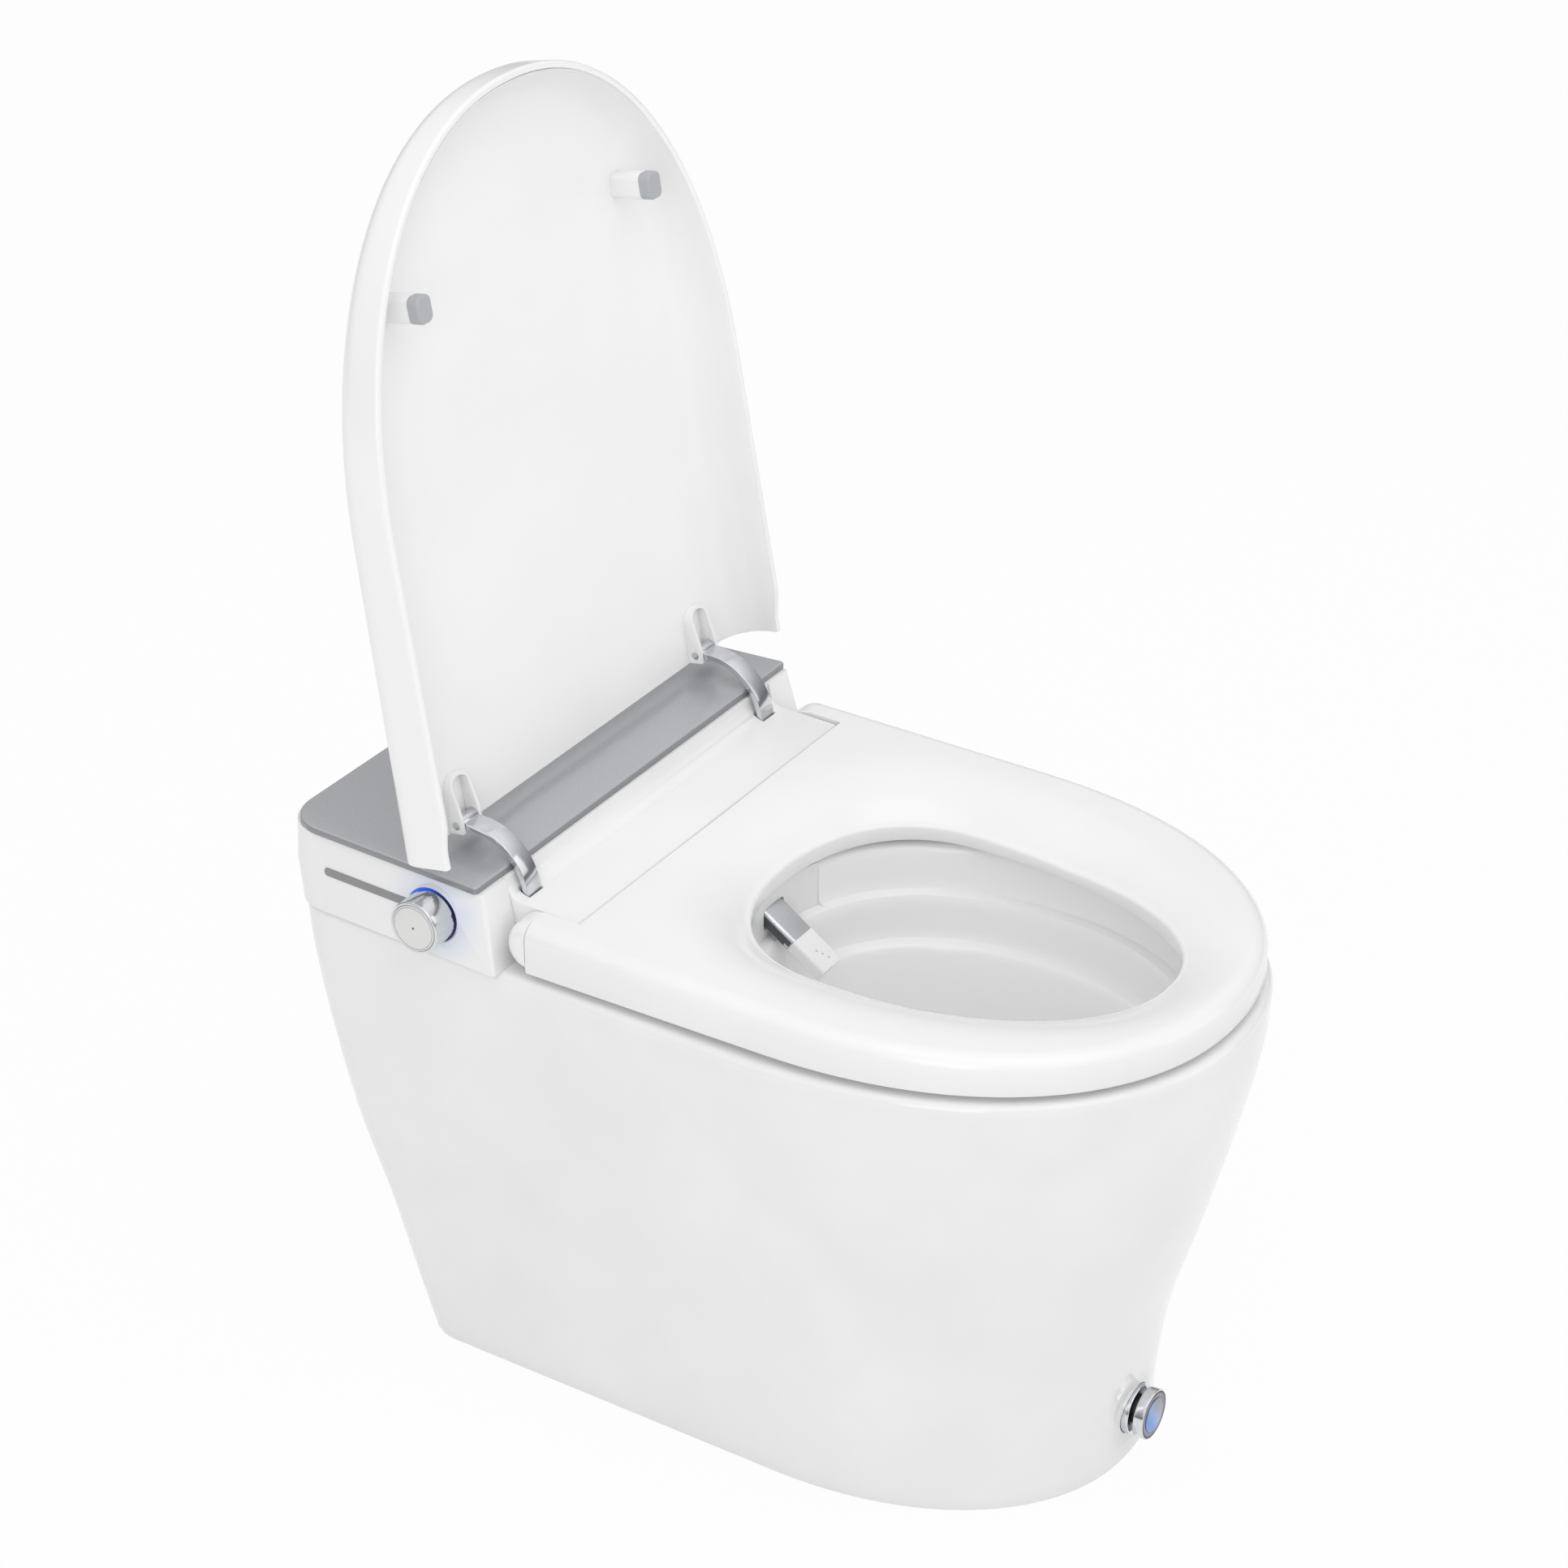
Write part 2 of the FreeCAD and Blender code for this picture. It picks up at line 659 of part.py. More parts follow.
# Chassis plate on the deck: carries the hinges, the wand guide and the gear
def chassis():
    inner = house_solid(-CHASSIS_IN, DECK_Z, CHASSIS_TOP)
    reach = COVER_HALF - COVER_WALL - GAP
    tongue = box(-reach, reach, FLAP_FRONT + COVER_WALL + GAP, HOUSE_FRONT + BOSS_R, DECK_Z, CHASSIS_TOP)
    plate = inner.fuse(tongue)
    tower_x = COVER_HALF - COVER_WALL - GAP - TOWER_T
    half = SEAT_PIN_R + SEAT_PIN_R + COVER_WALL
    top = SEAT_AXIS.z + SEAT_PIN_R + COVER_WALL
    tower = box(tower_x, tower_x + TOWER_T, SEAT_AXIS.y - half, SEAT_AXIS.y + half, DECK_Z, top)
    tower = tower.cut(rod(SEAT_AXIS, X_AXIS, SEAT_PIN_R + RUN_FIT, COVER_HALF))
    plate = plate.fuse(tower).fuse(mirrored(tower))
    slot = WAND_W / 2 + GUIDE_WALL + GAP
    rear = NOTCH_REAR + WAND_W
    plate = plate.cut(box(-slot, slot, 0, rear, DECK_Z - OVERRUN, CHASSIS_TOP + OVERRUN))
    for x, y in chassis_screw_places():
        hole = rod(V(x, y, DECK_Z - OVERRUN), Z_AXIS, SCREW_R + RUN_FIT, CHASSIS_T + OVERRUN + OVERRUN)
        plate = plate.cut(hole)
    return plate.removeSplitter()


def chassis_screws():
    screws = []
    for x, y in chassis_screw_places():
        head = rod(V(x, y, CHASSIS_TOP), Z_AXIS, SCREW_HEAD_R, SCREW_HEAD_T)
        shank = rod(V(x, y, DECK_Z - SCREW_GRIP + GAP), Z_AXIS, SCREW_R, SCREW_GRIP + CHASSIS_T - GAP)
        socket = rod(V(x, y, CHASSIS_TOP + SCREW_HEAD_T / 2), Z_AXIS, SCREW_R, SCREW_HEAD_T)
        screws.append(head.fuse(shank).cut(socket))
    return group(screws)


# Hinge cover: front wall, concave fillet and flap in one moulding
def cover_profile(inset, bottom):
    """Side outline of the cover, from the wall under the panel round to the flap's lip."""
    wall = PANEL_FRONT - COVER_WALL + inset
    rear = PANEL_FRONT + OVERRUN if inset else PANEL_FRONT
    radius = COVER_FILLET + inset
    front = FLAP_FRONT + inset
    top = HOUSE_TOP
    flap_rear = FLAP_Z + FLAP_SLOPE - inset
    flap_front = FLAP_Z - inset
    fillet_y = wall - radius
    mid = radius * math.sin(math.pi / 4)
    lip = FLAP_ROUND
    drop = lip * math.sin(math.pi / 4)
    points = [V(0, rear, bottom), V(0, rear, top), V(0, wall, top), V(0, wall, flap_rear + radius)]
    edges = [line(points[0], points[1]), line(points[1], points[2]), line(points[2], points[3])]
    centre_z = flap_rear + radius
    foot = V(0, fillet_y, flap_rear)
    edges.append(arc(points[3], V(0, fillet_y + mid, centre_z - mid), foot))
    lip_top = V(0, front + lip, flap_front)
    lip_end = V(0, front, flap_front - lip)
    lip_mid = V(0, front + lip - drop, flap_front - lip + drop)
    edges += [line(foot, lip_top), arc(lip_top, lip_mid, lip_end)]
    corner = V(0, front, bottom)
    edges += [line(lip_end, corner), line(corner, points[0])]
    return Part.Face(Part.Wire(edges))


def hinge_cover():
    outer = cover_profile(0, CHASSIS_TOP).extrude(V(2 * COVER_HALF, 0, 0))
    outer.translate(V(-COVER_HALF, 0, 0))
    inside = COVER_HALF - COVER_WALL
    inner = cover_profile(COVER_WALL, CHASSIS_TOP - OVERRUN).extrude(V(2 * inside, 0, 0))
    inner.translate(V(-inside, 0, 0))
    shell = outer.cut(inner)
    for side in (-1, 1):
        x0 = side * PIN_X - ARM_W / 2 - GAP
        x1 = side * PIN_X + ARM_W / 2 + GAP
        leg = arm_corner()
        y0 = leg.y - ARM_T - GAP
        shell = shell.cut(box(x0, x1, y0, leg.y + ARM_T + GAP, FLAP_Z - COVER_FILLET, HOUSE_TOP - GAP))
        start = V(side * COVER_HALF - side * COVER_WALL * 2, SEAT_AXIS.y, SEAT_AXIS.z)
        shell = shell.cut(rod(start, X_AXIS * side, SEAT_PIN_R + GAP, COVER_WALL * 3))
    slot = WAND_W / 2 + GUIDE_WALL + GAP
    mouth_top = CHASSIS_TOP + WAND_H + GUIDE_WALL
    shell = shell.cut(box(-slot, slot, 0, FLAP_FRONT + COVER_WALL * 2, DECK_Z, mouth_top))
    return shell.removeSplitter()


# Fixed hinge arms: bent metal straps with an eye for the lid pin
def arm_corner():
    turn = math.radians(ARM_TURN)
    y = PIN_Y - ARM_STRAIGHT - ARM_BEND * math.sin(turn)
    z = PIN_Z - ARM_BEND + ARM_BEND * math.cos(turn)
    return V(0, y, z)


def arm_strip(offset):
    """One long edge of the strap, offset from its middle line, from eye to foot."""
    turn = math.radians(ARM_TURN)
    radius = ARM_BEND + offset
    centre = V(0, PIN_Y - ARM_STRAIGHT, PIN_Z - ARM_BEND)
    start = V(0, PIN_Y, PIN_Z + offset)
    bend = centre + V(0, 0, radius)
    middle = centre + V(0, -radius * math.sin(turn / 2), radius * math.cos(turn / 2))
    end = centre + V(0, -radius * math.sin(turn), radius * math.cos(turn))
    fall = end.z - CHASSIS_TOP
    foot = V(0, end.y - fall / math.tan(turn), CHASSIS_TOP)
    return start, bend, middle, end, foot


def hinge_arm(side):
    outer = arm_strip(ARM_T / 2)
    inner = arm_strip(-ARM_T / 2)
    edges = [line(outer[0], outer[1]), arc(*outer[1:4]), line(outer[3], outer[4])]
    edges += [line(outer[4], inner[4]), line(inner[4], inner[3]), arc(*inner[3:0:-1])]
    edges += [line(inner[1], inner[0]), line(inner[0], outer[0])]
    strap = Part.Face(Part.Wire(edges)).extrude(V(ARM_W, 0, 0))
    foot = box(0, ARM_W, outer[4].y, outer[4].y + ARM_FOOT, CHASSIS_TOP, CHASSIS_TOP + ARM_FOOT_T)
    pin = V(0, PIN_Y, PIN_Z)
    arm = strap.fuse(foot).fuse(rod(pin, X_AXIS, EYE_R, ARM_W))
    arm = arm.cut(rod(pin - X_AXIS * OVERRUN, X_AXIS, PIN_R + RUN_FIT, ARM_W + OVERRUN + OVERRUN))
    arm.translate(V(side * PIN_X - ARM_W / 2, 0, 0))
    return arm.removeSplitter()


def arm_screws():
    screws = []
    y = arm_strip(ARM_T / 2)[4].y + ARM_FOOT - SCREW_HEAD_R - GAP
    for side in (-1, 1):
        screws.append(rod(V(side * PIN_X, y, CHASSIS_TOP + ARM_FOOT_T), Z_AXIS, SCREW_HEAD_R, SCREW_HEAD_T))
    return group(screws)


# Lid, drawn flat and then swung up about the pin
def lid_up(shape):
    shape.translate(V(0, PIN_Y, PIN_Z))
    shape.rotate(V(0, PIN_Y, PIN_Z), X_AXIS, -90 - LID_LEAN)
    return shape


def lid_slope():
    """Rise of the lid's top towards the hinge, for each millimetre back."""
    return (LID_T_REAR - LID_T_FRONT) / (LID_TAIL + LID_REACH)


def lid_top_z(depth):
    """Height over the pin, at the pin, of a face that lies a depth under the lid's top."""
    return LID_T_REAR - lid_slope() * LID_TAIL - LID_RIM_DROP - depth


def lid_plan(inset, z):
    corner = LID_WALL * 3 - inset
    half, rear_half, reach = LID_HALF - inset, LID_REAR_HALF - inset, LID_REACH - inset
    return d_wire(half, rear_half, reach, LID_TAIL * 6, corner, z, LID_WIDEST)


def lid_block(inset, bottom, depth):
    """Lid outline from a level face up to a face parallel to the sloping top."""
    upper = sloped(lid_plan(inset, lid_top_z(depth)), lid_slope())
    return loft([lid_plan(inset, bottom), upper], True)


def lid_below(depth):
    """All the space under a face that lies a depth under the lid's top."""
    low = -LID_RIM_DROP - LID_T_REAR
    x = -LID_HALF * 2
    points = [V(x, LID_T_REAR, low), V(x, -LID_REACH, low)]
    for y in (-LID_REACH, LID_T_REAR):
        points.append(V(x, y, lid_top_z(depth) + lid_slope() * y))
    return prism(points, V(LID_HALF * 4, 0, 0))


def lid_tail_cut():
    """Everything behind the lid's square rear end, and under the rise of its rim over the knob."""
    low = -LID_RIM_DROP - LID_TAIL
    flat = -LID_RIM_DROP + LID_TAPER
    x = -LID_HALF * 2
    points = [V(x, LID_TAIL * 8, low), V(x, LID_TAIL * 8, LID_T_REAR), V(x, LID_TAIL, LID_T_REAR)]
    points += [V(x, LID_TAIL, flat), V(x, -LID_TAPER_FLAT, flat)]
    points.append(V(x, -LID_TAPER_FLAT - LID_TAPER_L, -LID_RIM_DROP))
    points.append(V(x, -LID_TAPER_FLAT - LID_TAPER_L, low))
    return prism(points, V(LID_HALF * 4, 0, 0))


def lid_shell():
    outer = lid_block(0, -LID_RIM_DROP, 0)
    outer = outer.makeFillet(LID_ROUND, edges_where(outer, lambda b: b.ZMin > -LID_ROUND))
    hollow = lid_block(LID_WALL, -LID_RIM_DROP - OVERRUN, LID_SKIN)
    inside = LID_REAR_HALF - LID_WALL
    rear = box(-inside, inside, 0, LID_TAIL * 5, -LID_RIM_DROP - OVERRUN, LID_T_REAR)
    hollow = hollow.fuse(rear.common(lid_below(LID_SKIN)))
    shell = outer.cut(hollow).cut(lid_tail_cut())
    return lid_up(shell.removeSplitter())


def lid_liner():
    plate = lid_block(LID_WALL + GAP, -LID_RIM_DROP, LID_SKIN)
    plate = plate.cut(lid_below(LID_SKIN + LINER_T)).cut(lid_tail_cut())
    return lid_up(plate)


def liner_z(y):
    return lid_top_z(LID_SKIN + LINER_T) + lid_slope() * y


def lid_lug(side):
    half = ARM_W / 2 + LUG_PLAY + LUG_WALL
    reach = LUG_LENGTH
    tail = LUG_TAIL
    outline = [V(-half, tail, 0), V(-half, -reach + half, 0), V(half, -reach + half, 0), V(half, tail, 0)]
    edges = [line(outline[3], outline[0]), line(outline[0], outline[1])]
    edges += [arc(outline[1], V(0, -reach, 0), outline[2]), line(outline[2], outline[3])]
    block = Part.Face(Part.Wire(edges)).extrude(V(0, 0, LID_T_REAR))
    block.translate(V(0, 0, -LUG_DEPTH))
    top = liner_z(tail)
    profile = [V(-half * 2, tail * 2, liner_z(tail * 2)), V(-half * 2, -reach * 2, liner_z(-reach * 2))]
    profile.append(V(-half * 2, -reach * 2, liner_z(-reach * 2) - LUG_TIP_DEPTH))
    profile.append(V(-half * 2, -reach, liner_z(-reach) - LUG_TIP_DEPTH))
    profile.append(V(-half * 2, -tail, top - LUG_DEPTH))
    profile.append(V(-half * 2, tail * 2, top - LUG_DEPTH))
    block = block.common(prism(profile, V(half * 4, 0, 0)))
    inside = half - LUG_WALL
    nose = -reach + LUG_WALL + LUG_NOSE
    slot = [V(-inside, tail * 2, 0), V(-inside, nose, 0), V(inside, nose, 0), V(inside, tail * 2, 0)]
    cut_edges = [line(slot[3], slot[0]), line(slot[0], slot[1])]
    cut_edges += [arc(slot[1], V(0, -reach + LUG_WALL, 0), slot[2]), line(slot[2], slot[3])]
    channel = Part.Face(Part.Wire(cut_edges)).extrude(V(0, 0, LID_T_REAR))
    channel.translate(V(0, 0, -LID_T_REAR / 2))
    block = block.cut(channel)
    block = block.cut(rod(V(-half - OVERRUN, 0, 0), X_AXIS, PIN_R + RUN_FIT, half * 3))
    block.translate(V(side * PIN_X, 0, 0))
    return block


def lid_lugs():
    return lid_up(group([lid_lug(-1), lid_lug(1)]))


def lid_hinge_pins():
    half = ARM_W / 2 + LUG_PLAY + LUG_WALL
    pins = [rod(V(side * PIN_X - half, 0, 0), X_AXIS, PIN_R, 2 * half) for side in (-1, 1)]
    return lid_up(group(pins))


def buffer_bar(x, z0, z1):
    start = V(x, -BUFFER_REACH, z0)
    return rounded_bar(BUFFER_W, BUFFER_L, BUFFER_ROUND, start, Z_AXIS, Y_AXIS, z1 - z0)


def buffer_bottom():
    return -LID_RIM_DROP - CLOSING_GAP + REST_GAP


def lid_buffer_posts():
    split = buffer_bottom() + BUFFER_CAP
    posts = []
    for side in (-1, 1):
        post = buffer_bar(side * BUFFER_X, split, LID_T_REAR)
        posts.append(post.common(lid_below(LID_SKIN + LINER_T)))
    return lid_up(group(posts))


def lid_buffer_caps():
    caps = []
    for side in (-1, 1):
        cap = buffer_bar(side * BUFFER_X, buffer_bottom(), buffer_bottom() + BUFFER_CAP)
        low = edges_where(cap, lambda b: b.ZMax < buffer_bottom() + GAP)
        caps.append(cap.makeFillet(BUFFER_ROUND / 3, low))
    return lid_up(group(caps))


# Seat: a wedge-shaped heated ring with two hinge ears
def seat_slope():
    return (SEAT_T_REAR - SEAT_T_FRONT) / (SEAT_FRONT + SEAT_AXIS.y)


def seat_solid(inset, bottom, depth):
    """Seat ring from a level face up to a face parallel to its sloping top."""
    rear = SEAT_AXIS.y + PLAN_CORNER
    top = SEAT_Z + SEAT_T_REAR - seat_slope() * SEAT_AXIS.y - depth
    sizes = (SEAT_HALF - inset, SEAT_REAR_HALF - inset, SEAT_FRONT - inset, rear, PLAN_CORNER / 2)
    hole = (HOLE_HALF + inset, HOLE_FRONT + inset, HOLE_REAR - inset, BOWL_POWER)
    outlines = [d_wire(*sizes, z, SEAT_WIDEST) for z in (bottom, top)]
    body = loft([outlines[0], sloped(outlines[1], seat_slope())], True)
    body = body.cut(loft([egg_wire(*hole, bottom), sloped(egg_wire(*hole, top), seat_slope())], True))
    return body.cut(seat_behind(0))


def seat_behind(ahead):
    """Everything behind a line ahead of the seat's hinge axis."""
    return box(-SEAT_HALF * 2, SEAT_HALF * 2, SEAT_AXIS.y - ahead, SEAT_FRONT, 0, PIN_Z)


def seat_notch():
    """Round clearance for the flap of the hinge cover, about the seat's axis."""
    reach = math.hypot(SEAT_AXIS.y - FLAP_FRONT, SEAT_AXIS.z - CHASSIS_TOP) + NOTCH_CLEAR
    return rod(V(-EAR_IN, SEAT_AXIS.y, SEAT_AXIS.z), X_AXIS, reach, 2 * EAR_IN)


def seat_ring():
    ring = seat_solid(0, SEAT_Z + SEAT_BASE_T, 0)
    limit = SEAT_Z + SEAT_T_FRONT / 2
    top = edges_where(ring, lambda b: b.ZMin > limit and b.YMin < SEAT_AXIS.y - GAP)
    return ring.makeFillet(SEAT_ROUND, top).cut(seat_notch())


def seat_ear(ring):
    """Rounded rear end of one side, swept about the hinge axis from the ring's end face."""
    upper = box(0, SEAT_HALF * 2, SEAT_AXIS.y - GAP, SEAT_AXIS.y + GAP, SEAT_AXIS.z, PIN_Z)
    ends = [f for f in ring.common(upper).Faces if f.CenterOfMass.y > SEAT_AXIS.y - RUN_FIT]
    return ends[0].revolve(SEAT_AXIS, X_AXIS, -180)


def seat_top():
    ring = seat_ring()
    ear = seat_ear(ring)
    solid_end = SEAT_AXIS.y - FLAP_FRONT + SEAT_SOLID
    hollow = seat_solid(SEAT_WALL, SEAT_Z, SEAT_WALL).cut(seat_behind(solid_end))
    ring = ring.cut(hollow).fuse(ear).fuse(mirrored(ear))
    for side in (-1, 1):
        start = V(side * (EAR_IN - OVERRUN), SEAT_AXIS.y, SEAT_AXIS.z)
        ring = ring.cut(rod(start, X_AXIS * side, SEAT_PIN_R + RUN_FIT, SEAT_PIN_GRIP + OVERRUN + GAP))
    return ring.cut(wand_passage()).removeSplitter()


def seat_base():
    low = seat_solid(0, SEAT_Z, 0)
    slab = box(-SEAT_HALF * 2, SEAT_HALF * 2, -SEAT_FRONT * 2, SEAT_FRONT, SEAT_Z, SEAT_Z + SEAT_BASE_T)
    plate = low.common(slab).cut(seat_notch()).cut(seat_behind(SEAT_BASE_T))
    return plate.cut(wand_passage())


def seat_heater():
    inset = SEAT_WALL + SEAT_ROUND
    film = seat_solid(inset, SEAT_Z, SEAT_WALL)
    film = film.cut(seat_solid(inset - GAP, SEAT_Z - OVERRUN, SEAT_WALL + HEATER_T))
    return film.cut(seat_behind(SEAT_AXIS.y + HOLE_REAR))


def seat_pads():
    pads = []
    for side_share, front_share in PAD_PLACE_shares:
        x = SEAT_HALF * side_share
        y = -SEAT_FRONT * front_share
        foot = V(x, y, DECK_Z + REST_GAP)
        pad = rounded_bar(PAD_W, PAD_L, PAD_W / 3, foot, Z_AXIS, Y_AXIS, SEAT_LIFT - REST_GAP)
        pads += [pad, mirrored(pad)]
    return group(pads)


def seat_pins():
    start = COVER_HALF - COVER_WALL - GAP - TOWER_T
    pin = rod(V(start, SEAT_AXIS.y, SEAT_AXIS.z), X_AXIS, SEAT_PIN_R, EAR_IN - start + SEAT_PIN_GRIP)
    return both_sides(pin)


# Spray wand: a metal tube on a rack, sliding in a sloping guide
def wand_axes():
    slope = math.radians(WAND_SLOPE)
    along = V(0, -math.cos(slope), -math.sin(slope))
    up = V(0, -math.sin(slope), math.cos(slope))
    return along, up


def wand_point(out, lift=0.0):
    along, up = wand_axes()
    return WAND_EXIT + along * out + up * lift


def wand_passage():
    """Slanting relief under the seat's rear edge, from ear to ear, that the wand passes under."""
    along, up = wand_axes()
    top = up * (WAND_H / 2 + RELIEF_CLEAR)
    low = up * (-WAND_H / 2 - RELIEF_CLEAR)
    front = wand_point(WAND_OUT)
    rear = wand_point(-GUIDE_REAR - NOTCH_REAR)
    shift = X_AXIS * -EAR_IN
    corners = [front + low + shift, front + top + shift, rear + top + shift, rear + low + shift]
    return prism(corners, X_AXIS * (EAR_IN * 2))


def pitch_radius():
    return MODULE * PINION_TEETH / 2


def rack_line():
    """Pitch line of the rack below the wand's middle line."""
    return WAND_H / 2 - MODULE


def rack_cutter():
    """The gaps between the rack's teeth, on the underside of the wand."""
    along, up = wand_axes()
    pitch = math.pi * MODULE
    lean = math.tan(math.radians(PRESSURE))
    deep = MODULE + MODULE / 4
    gaps = []
    for index in range(-int(RACK_BACK / pitch), int((RACK_LENGTH - RACK_BACK) / pitch)):
        middle = (index + 0.5) * pitch
        half = pitch / 4 + BACKLASH / 4
        wide = half + (MODULE + OVERRUN) * lean
        narrow = half - deep * lean
        base = wand_point(middle - PINION_BACK, -rack_line())
        shift = X_AXIS * (-RACK_W / 2)
        corners = [base + along * wide - up * (MODULE + OVERRUN), base + along * narrow + up * deep]
        corners += [base - along * narrow + up * deep, base - along * wide - up * (MODULE + OVERRUN)]
        gaps.append(prism([c + shift for c in corners], X_AXIS * RACK_W))
    return gaps


def spray_wand():
    along, up = wand_axes()
    bar = rounded_bar(WAND_W, WAND_H, WAND_ROUND, wand_point(-WAND_TAIL - PINION_BACK), along, up,
                      WAND_OUT + WAND_TAIL + PINION_BACK)
    for gap in rack_cutter():
        bar = bar.cut(gap)
    return bar


def wand_tip():
    along, up = wand_axes()
    tip = rounded_bar(WAND_W, WAND_H, WAND_ROUND, wand_point(WAND_OUT), along, up, TIP_L)
    for index in (-1, 0, 1):
        jet = wand_point(WAND_OUT + TIP_L - JET_BACK + JET_PITCH * index) + X_AXIS * (JET_PITCH * index / 2)
        tip = tip.cut(rod(jet, up, JET_R, WAND_H))
    return tip


def pinion_centre():
    return wand_point(-PINION_BACK, -rack_line() - pitch_radius())


def tooth_side(radius):
    """Half angle of a tooth at a radius, from the involute of the base circle."""
    pressure = math.radians(PRESSURE)
    base = pitch_radius() * math.cos(pressure)
    half = (math.pi * MODULE / 2 - BACKLASH) / 2 / pitch_radius()
    start = half + math.tan(pressure) - pressure
    if radius <= base:
        return start
    roll = math.acos(base / radius)
    return start - math.tan(roll) + roll


def wand_pinion():
    along, up = wand_axes()
    centre = pinion_centre()
    root = pitch_radius() - MODULE - MODULE / 4
    tip = pitch_radius() + MODULE - BACKLASH / 2
    radii = [root, pitch_radius() - MODULE / 2, pitch_radius(), pitch_radius() + MODULE / 2, tip]
    points = []
    for tooth in range(PINION_TEETH):
        middle = 2 * math.pi * (tooth + 0.5) / PINION_TEETH
        for sign, order in ((-1, radii), (1, radii[::-1])):
            for radius in order:
                turn = middle + sign * tooth_side(radius)
                points.append(centre + up * (radius * math.cos(turn)) + along * (radius * math.sin(turn)))
    shift = X_AXIS * (-PINION_W / 2)
    gear = prism([p + shift for p in points], X_AXIS * PINION_W)
    reach = WAND_W / 2 + GUIDE_WALL - REST_GAP
    return gear.fuse(rod(centre - X_AXIS * reach, X_AXIS, PINION_SHAFT_R, 2 * reach)).removeSplitter()


def wand_guide():
    along, up = wand_axes()
    wide = WAND_W + GUIDE_WALL * 2
    deep = WAND_H + GUIDE_WALL * 2 + pitch_radius() * 2 + GUIDE_WALL
    drop = -(deep - WAND_H - GUIDE_WALL * 2) / 2
    length = GUIDE_REAR - GUIDE_FRONT
    body = rounded_bar(wide, deep, WAND_ROUND, wand_point(-GUIDE_REAR, drop), along, up, length)
    play = GAP
    start = wand_point(-GUIDE_REAR - OVERRUN)
    bore = rounded_bar(WAND_W + play, WAND_H + play, WAND_ROUND, start, along, up, length + OVERRUN * 2)
    body = body.cut(bore)
    centre = pinion_centre()
    chamber = pitch_radius() + MODULE + GAP
    body = body.cut(rod(centre - X_AXIS * (PINION_W / 2 + GAP), X_AXIS, chamber, PINION_W + GAP * 2))
    body = body.cut(rod(centre - X_AXIS * wide, X_AXIS, PINION_SHAFT_R + RUN_FIT, wide * 2))
    reach = wide / 2 + GUIDE_LEDGE / 2
    rear = NOTCH_REAR + GUIDE_LEDGE / 2
    ledge = box(-reach, reach, rear - GUIDE_LEDGE, rear, CHASSIS_TOP, CHASSIS_TOP + ARM_FOOT_T)
    keep = rounded_bar(wide, deep, WAND_ROUND, wand_point(-GUIDE_REAR, drop), along, up, length)
    body = body.fuse(ledge.cut(keep))
    cover = FLAP_FRONT + COVER_WALL + GAP
    body = body.cut(box(-wide, wide, -WAND_OUT, cover, SEAT_Z - NOTCH_CLEAR, PIN_Z))
    behind = box(-wide, wide, NOTCH_REAR - GAP, NOTCH_REAR + deep * 3, 0, CHASSIS_TOP)
    return body.cut(behind).removeSplitter()


def wand_shield():
    """Curved plate in the bowl's rear wall, with the mouth that the wand comes out of."""
    along, up = wand_axes()
    low = DECK_Z - LEDGE_DROP
    high = DECK_Z - GAP
    layers = []
    for grow in (SHIELD_T, 0):
        wires = []
        for z in (low, high) if grow else (low - OVERRUN, high + OVERRUN):
            wires.append(egg_wire(BOWL_HALF + grow, BOWL_FRONT + grow, BOWL_REAR - grow, BOWL_POWER, z))
        layers.append(loft(wires, True))
    half = NOTCH_HALF - GAP
    plate = layers[0].cut(layers[1]).common(box(-half, half, BOWL_REAR * 4, NOTCH_REAR, low, high))
    start = wand_point(-GUIDE_FRONT)
    mouth = rounded_bar(WAND_W + SHIELD_PLAY, WAND_H + SHIELD_PLAY, WAND_ROUND, start, along, up, WAND_OUT)
    return plate.cut(mouth)


def wand_motor():
    centre = pinion_centre()
    start = centre + X_AXIS * (WAND_W / 2 + GUIDE_WALL)
    can = rod(start, X_AXIS, MOTOR_R, MOTOR_L)
    return can.fuse(rod(start + X_AXIS * MOTOR_L, X_AXIS, MOTOR_R / 2, GAP * 2))


# Side knob: chrome barrel that turns, face that presses, lit ring behind
def knob_point(out):
    return V(knob_seat_x() - out, KNOB_Y, KNOB_Z)


def led_ring():
    return tube(knob_point(RING_T), X_AXIS, BOSS_R, BOSS_R - RING_IN - RING_IN, RING_T)


def knob_barrel():
    back = RING_T + REST_GAP
    body = rod(knob_point(back + KNOB_L), X_AXIS, KNOB_R, KNOB_L)
    ends = edges_where(body, lambda b: b.XLength < GAP)
    body = body.makeFillet(GAP * 2, ends)
    recess = KNOB_PRESS + KNOB_PRESS + KNOB_WALL
    body = body.cut(rod(knob_point(back + KNOB_L + OVERRUN), X_AXIS, KNOB_R - KNOB_WALL, recess + OVERRUN))
    stem_end = knob_point(back + KNOB_L)
    body = body.cut(rod(stem_end, X_AXIS, PIN_R + RUN_FIT, recess + BOSS_R / 2))
    shaft = rod(knob_point(back), X_AXIS, KNOB_SHAFT_R, back + BOSS_PROUD + HOUSE_WALL * 2 + HOUSE_WALL)
    return body.fuse(shaft)


def knob_face():
    back = RING_T + REST_GAP + KNOB_L
    disc = rod(knob_point(back + GAP), X_AXIS, KNOB_R - KNOB_WALL - REST_GAP, KNOB_PRESS + GAP)
    rim = edges_where(disc, lambda b: b.XMax < knob_point(back).x)
    disc = disc.makeFillet(GAP, rim)
    return disc.fuse(rod(knob_point(back), X_AXIS, PIN_R, KNOB_PRESS + KNOB_WALL + BOSS_R / 3))


